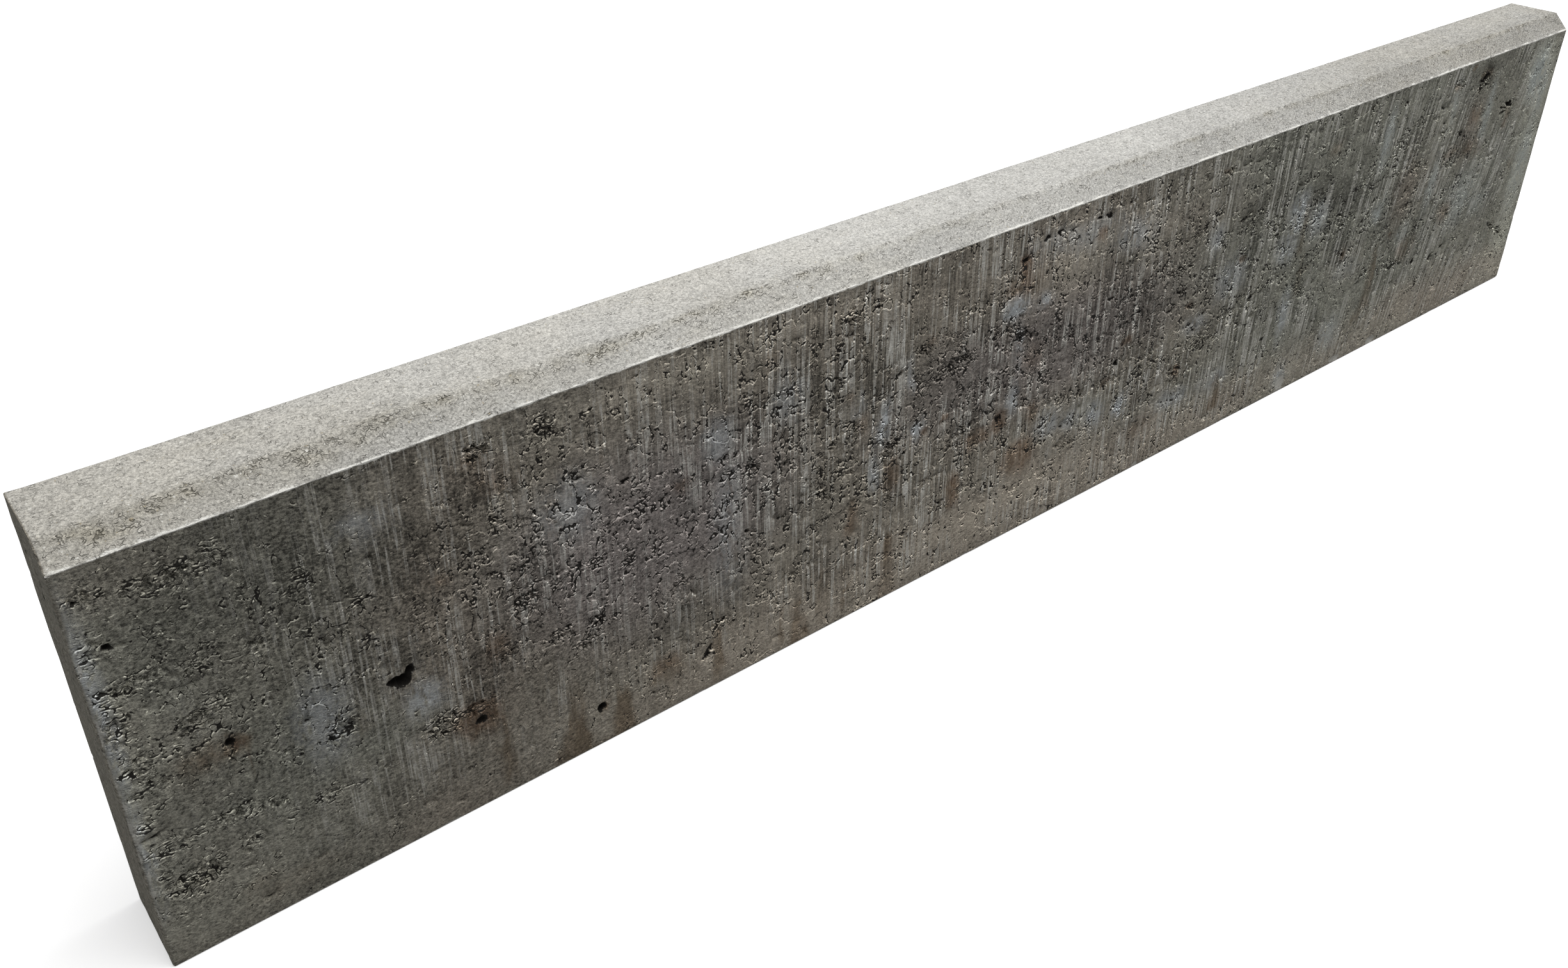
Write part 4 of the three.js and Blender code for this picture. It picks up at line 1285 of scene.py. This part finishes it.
# %% Concrete: pressed top
SAND = (0.434, 0.418, 0.378, 1)
SAND_GREY = (0.426, 0.420, 0.399, 1)
OLIVE_TINT_AND_SHADE = (0.76, 0.72, 0.61, 1)
GRAIN_WHITE = (0.70, 0.69, 0.64, 1)
GRAIN_OCHRE = (0.36, 0.30, 0.19, 1)
OPEN_SHADOW = (0.145, 0.135, 0.108, 1)

patchy = nodes.noise(place, (45, 30, 30), detail=3.0, roughness=0.6, shift=(2.0, 9.0, 4.0))
pick = nodes.noise(place, (1.6, 1.6, 1.6), detail=1.0, shift=(21.0, 2.0, 3.0))
yellower = nodes.step(nodes.sum(warmth_here, nodes.swing(patchy, 1.5)), -1.0, 0.7)
top_colour = nodes.mix(yellower, SAND_GREY, SAND)
top_colour = nodes.scale(
    top_colour,
    nodes.sum(1.0, nodes.times(tone_here, 0.5), nodes.swing(sand, 2.8), nodes.swing(mottle, 0.3)))
# Where the grains stand open the sand is tinted olive and darkened as painted shade.
top_colour = nodes.mix(nodes.times(open_here, 0.9), top_colour, OLIVE_TINT_AND_SHADE, blend="MULTIPLY")
# Painted shade and painted highlight on the curls of the top.
top_colour = nodes.shade(nodes.times(curl_shade, 0.5), top_colour, 0.75)
top_colour = nodes.shade(nodes.times(curl_highlight, 0.5), top_colour, 1.25)
top_colour = nodes.mix(nodes.step(pick, 0.70, 0.74, 0.0, 0.75), top_colour, GRAIN_WHITE)
top_colour = nodes.mix(nodes.step(pick, 0.27, 0.23, 0.0, 0.6), top_colour, GRAIN_OCHRE)
# Painted highlights on the gaps' lips, then painted shade in the gaps and in deep cuts.
top_colour = nodes.shade(nodes.times(crevices_here["Lip Highlight"], 0.6), top_colour, 1.35)
top_gap_shade = nodes.times(crevices_here["Dark"], nodes.step(open_here, 0.1, 0.7, 0.3, 0.9))
for share in (top_gap_shade, nodes.times(nodes.step(cut_shade, 0.1, 1.0), 0.75)):
    top_colour = nodes.mix(share, top_colour, OPEN_SHADOW)
print(len(concrete.node_tree.nodes), "nodes so far")

# %% Concrete: worn edges and the whole
WORN = (0.50, 0.49, 0.45, 1)
BURR_HIGHLIGHT = (0.80, 0.79, 0.74, 1)

colour = nodes.mix(pressed, side_colour, top_colour)
wear_and_burr_share = nodes.step(nodes.sum(worn_and_lit_burr_here, nodes.swing(grit, 1.2)), 0.25, 0.7)
from_fold = nodes.math("ABSOLUTE", nodes.sum(at_z, -FRONT_TOP))
# The burr is painted pale as a highlight where it catches the light; elsewhere the colour is wear.
wear_and_burr_highlight = nodes.mix(nodes.step(from_fold, 3.0, 1.5), WORN, BURR_HIGHLIGHT)
colour = nodes.mix(nodes.times(wear_and_burr_share, 0.9), colour, wear_and_burr_highlight)
nodes.feed(shader.inputs["Base Color"], colour)
nodes.feed(shader.inputs["Roughness"], nodes.step(nodes.sum(rust_here, drips_here), 0.0, 1.0, 0.93, 0.80))
shader.inputs["Specular IOR Level"].default_value = 0.1
print(len(concrete.node_tree.nodes), "nodes so far")

# %% [markdown]
# ### Fine relief
#
# What is finer than the carved faces is left to a bump. Its height is added up in millimetres from
# the same grains, curls, lines, gaps and ledges that made the colour, and it turns only the light.

# %% Concrete: fine relief
GRIT_MM = 0.9
LUMP_MM = 0.6
OPEN_MM = 1.2
CURL_MM = 0.08
LINE_MM = 0.10
DIP_MM = -0.55
LEDGE_MM = 0.35

lump_mm = nodes.sum(
    nodes.step(pressed, 0.0, 1.0, LUMP_MM, 0.3 * LUMP_MM),
    nodes.times(opened_here, OPEN_MM),
    nodes.times(open_here, 0.5 * OPEN_MM))
fine_mm = nodes.sum(
    nodes.times(nodes.swing(grit, GRIT_MM), nodes.step(coarse_here, 0.0, 1.0, 0.7, 1.0)),
    nodes.swing(lump, lump_mm),
    nodes.times(nodes.math("SUBTRACT", curl_highlight, curl_shade), CURL_MM),
    nodes.times(lines["Light"], dragged_here, LINE_MM),
    nodes.times(nodes.math("MAXIMUM", crevices_here["Dip"], tears["Dip"]), DIP_MM),
    nodes.times(ledges["Skin"], edged, off_top, LEDGE_MM))
bump = nodes.add("Bump")
bump.inputs["Distance"].default_value = MM
nodes.feed(bump.inputs["Height"], fine_mm)
nodes.feed(shader.inputs["Normal"], bump.outputs["Normal"])
kerb.data.materials.clear()
kerb.data.materials.append(concrete)
print(len(concrete.node_tree.nodes), "nodes in the concrete")

# %% [markdown]
# ## Light
#
# Relief this shallow only shows under light from one side, so a big softbox hangs over the kerb,
# a little to the front: it rakes down the face, lights the lower lip of every pocket, and makes the
# top twice as bright as the side. A weak even world fills the shadows, though it is white where it
# is seen. The floor is pale and keeps the kerb's shadow. It glows only where it is seen, a little
# near the kerb and white farther off, so it has no edge against the world. To bounced light it is a
# darker grey, so that the foot of the kerb isn't lit from below.

# %% Softbox and world
FILL = 0.25
SOFTBOX_SIZE = (1.8, 1.1)
SOFTBOX_PLACE = (0.15, -0.30, 1.5)
SOFTBOX_POWER = 30


def seen_directly(nodes):
    """1 for what the camera sees, straight, in a gloss or through glass, and 0 for bounced light."""
    path = nodes.add("LightPath")
    seen = nodes.math("MAXIMUM", path.outputs["Is Camera Ray"], path.outputs["Is Glossy Ray"])
    return nodes.math("MAXIMUM", seen, path.outputs["Is Transmission Ray"])


world = bpy.data.worlds.new("studio")
world.use_nodes = True
sky = Nodes(world.node_tree)
background = world.node_tree.nodes["Background"]
background.inputs["Color"].default_value = (1, 1, 1, 1)
sky.feed(background.inputs["Strength"], sky.step(seen_directly(sky), 0.0, 1.0, FILL, 1.0))
bpy.context.scene.world = world

softbox_data = bpy.data.lights.new("softbox", "AREA")
softbox_data.shape = "RECTANGLE"
softbox_data.size, softbox_data.size_y = SOFTBOX_SIZE
softbox_data.energy = SOFTBOX_POWER
new_object("softbox", softbox_data).location = SOFTBOX_PLACE
print("softbox", SOFTBOX_SIZE, "m, fill", FILL)

# %% Floor
FLOOR_REACH = 4.0
FLOOR_PALE = (0.86, 0.86, 0.86, 1)
FLOOR_BOUNCE = (0.30, 0.30, 0.30, 1)
FLOOR_GLOW = 0.42
GLOW_FROM, GLOW_TO = 0.75, 1.6

corners = [(-FLOOR_REACH, -FLOOR_REACH, 0), (FLOOR_REACH, -FLOOR_REACH, 0),
           (FLOOR_REACH, FLOOR_REACH, 0), (-FLOOR_REACH, FLOOR_REACH, 0)]
floor_mesh = bpy.data.meshes.new("floor")
floor_mesh.from_pydata(corners, [], [(0, 1, 2, 3)])
floor = new_object("floor", floor_mesh)
floor_paint = bpy.data.materials.new("floor")
floor_paint.use_nodes = True
floor_nodes = Nodes(floor_paint.node_tree)
floor_shader = floor_paint.node_tree.nodes["Principled BSDF"]
seen = seen_directly(floor_nodes)
floor_nodes.feed(floor_shader.inputs["Base Color"], floor_nodes.mix(seen, FLOOR_BOUNCE, FLOOR_PALE))
floor_shader.inputs["Roughness"].default_value = 0.8
floor_shader.inputs["Specular IOR Level"].default_value = 0.0
floor_shader.inputs["Emission Color"].default_value = (1, 1, 1, 1)
away = floor_nodes.add("VectorMath", operation="LENGTH")
floor_nodes.feed(away.inputs[0], floor_nodes.add("TexCoord").outputs["Object"])
glow = floor_nodes.step(away.outputs["Value"], GLOW_FROM, GLOW_TO, FLOOR_GLOW, 1.0)
floor_nodes.feed(floor_shader.inputs["Emission Strength"], floor_nodes.times(seen, glow))
floor_mesh.materials.append(floor_paint)
print("floor", 2 * FLOOR_REACH, "m square")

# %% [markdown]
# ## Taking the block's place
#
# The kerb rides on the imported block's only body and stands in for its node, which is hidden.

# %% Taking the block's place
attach(kerb, "root")
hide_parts("kerb_stone")
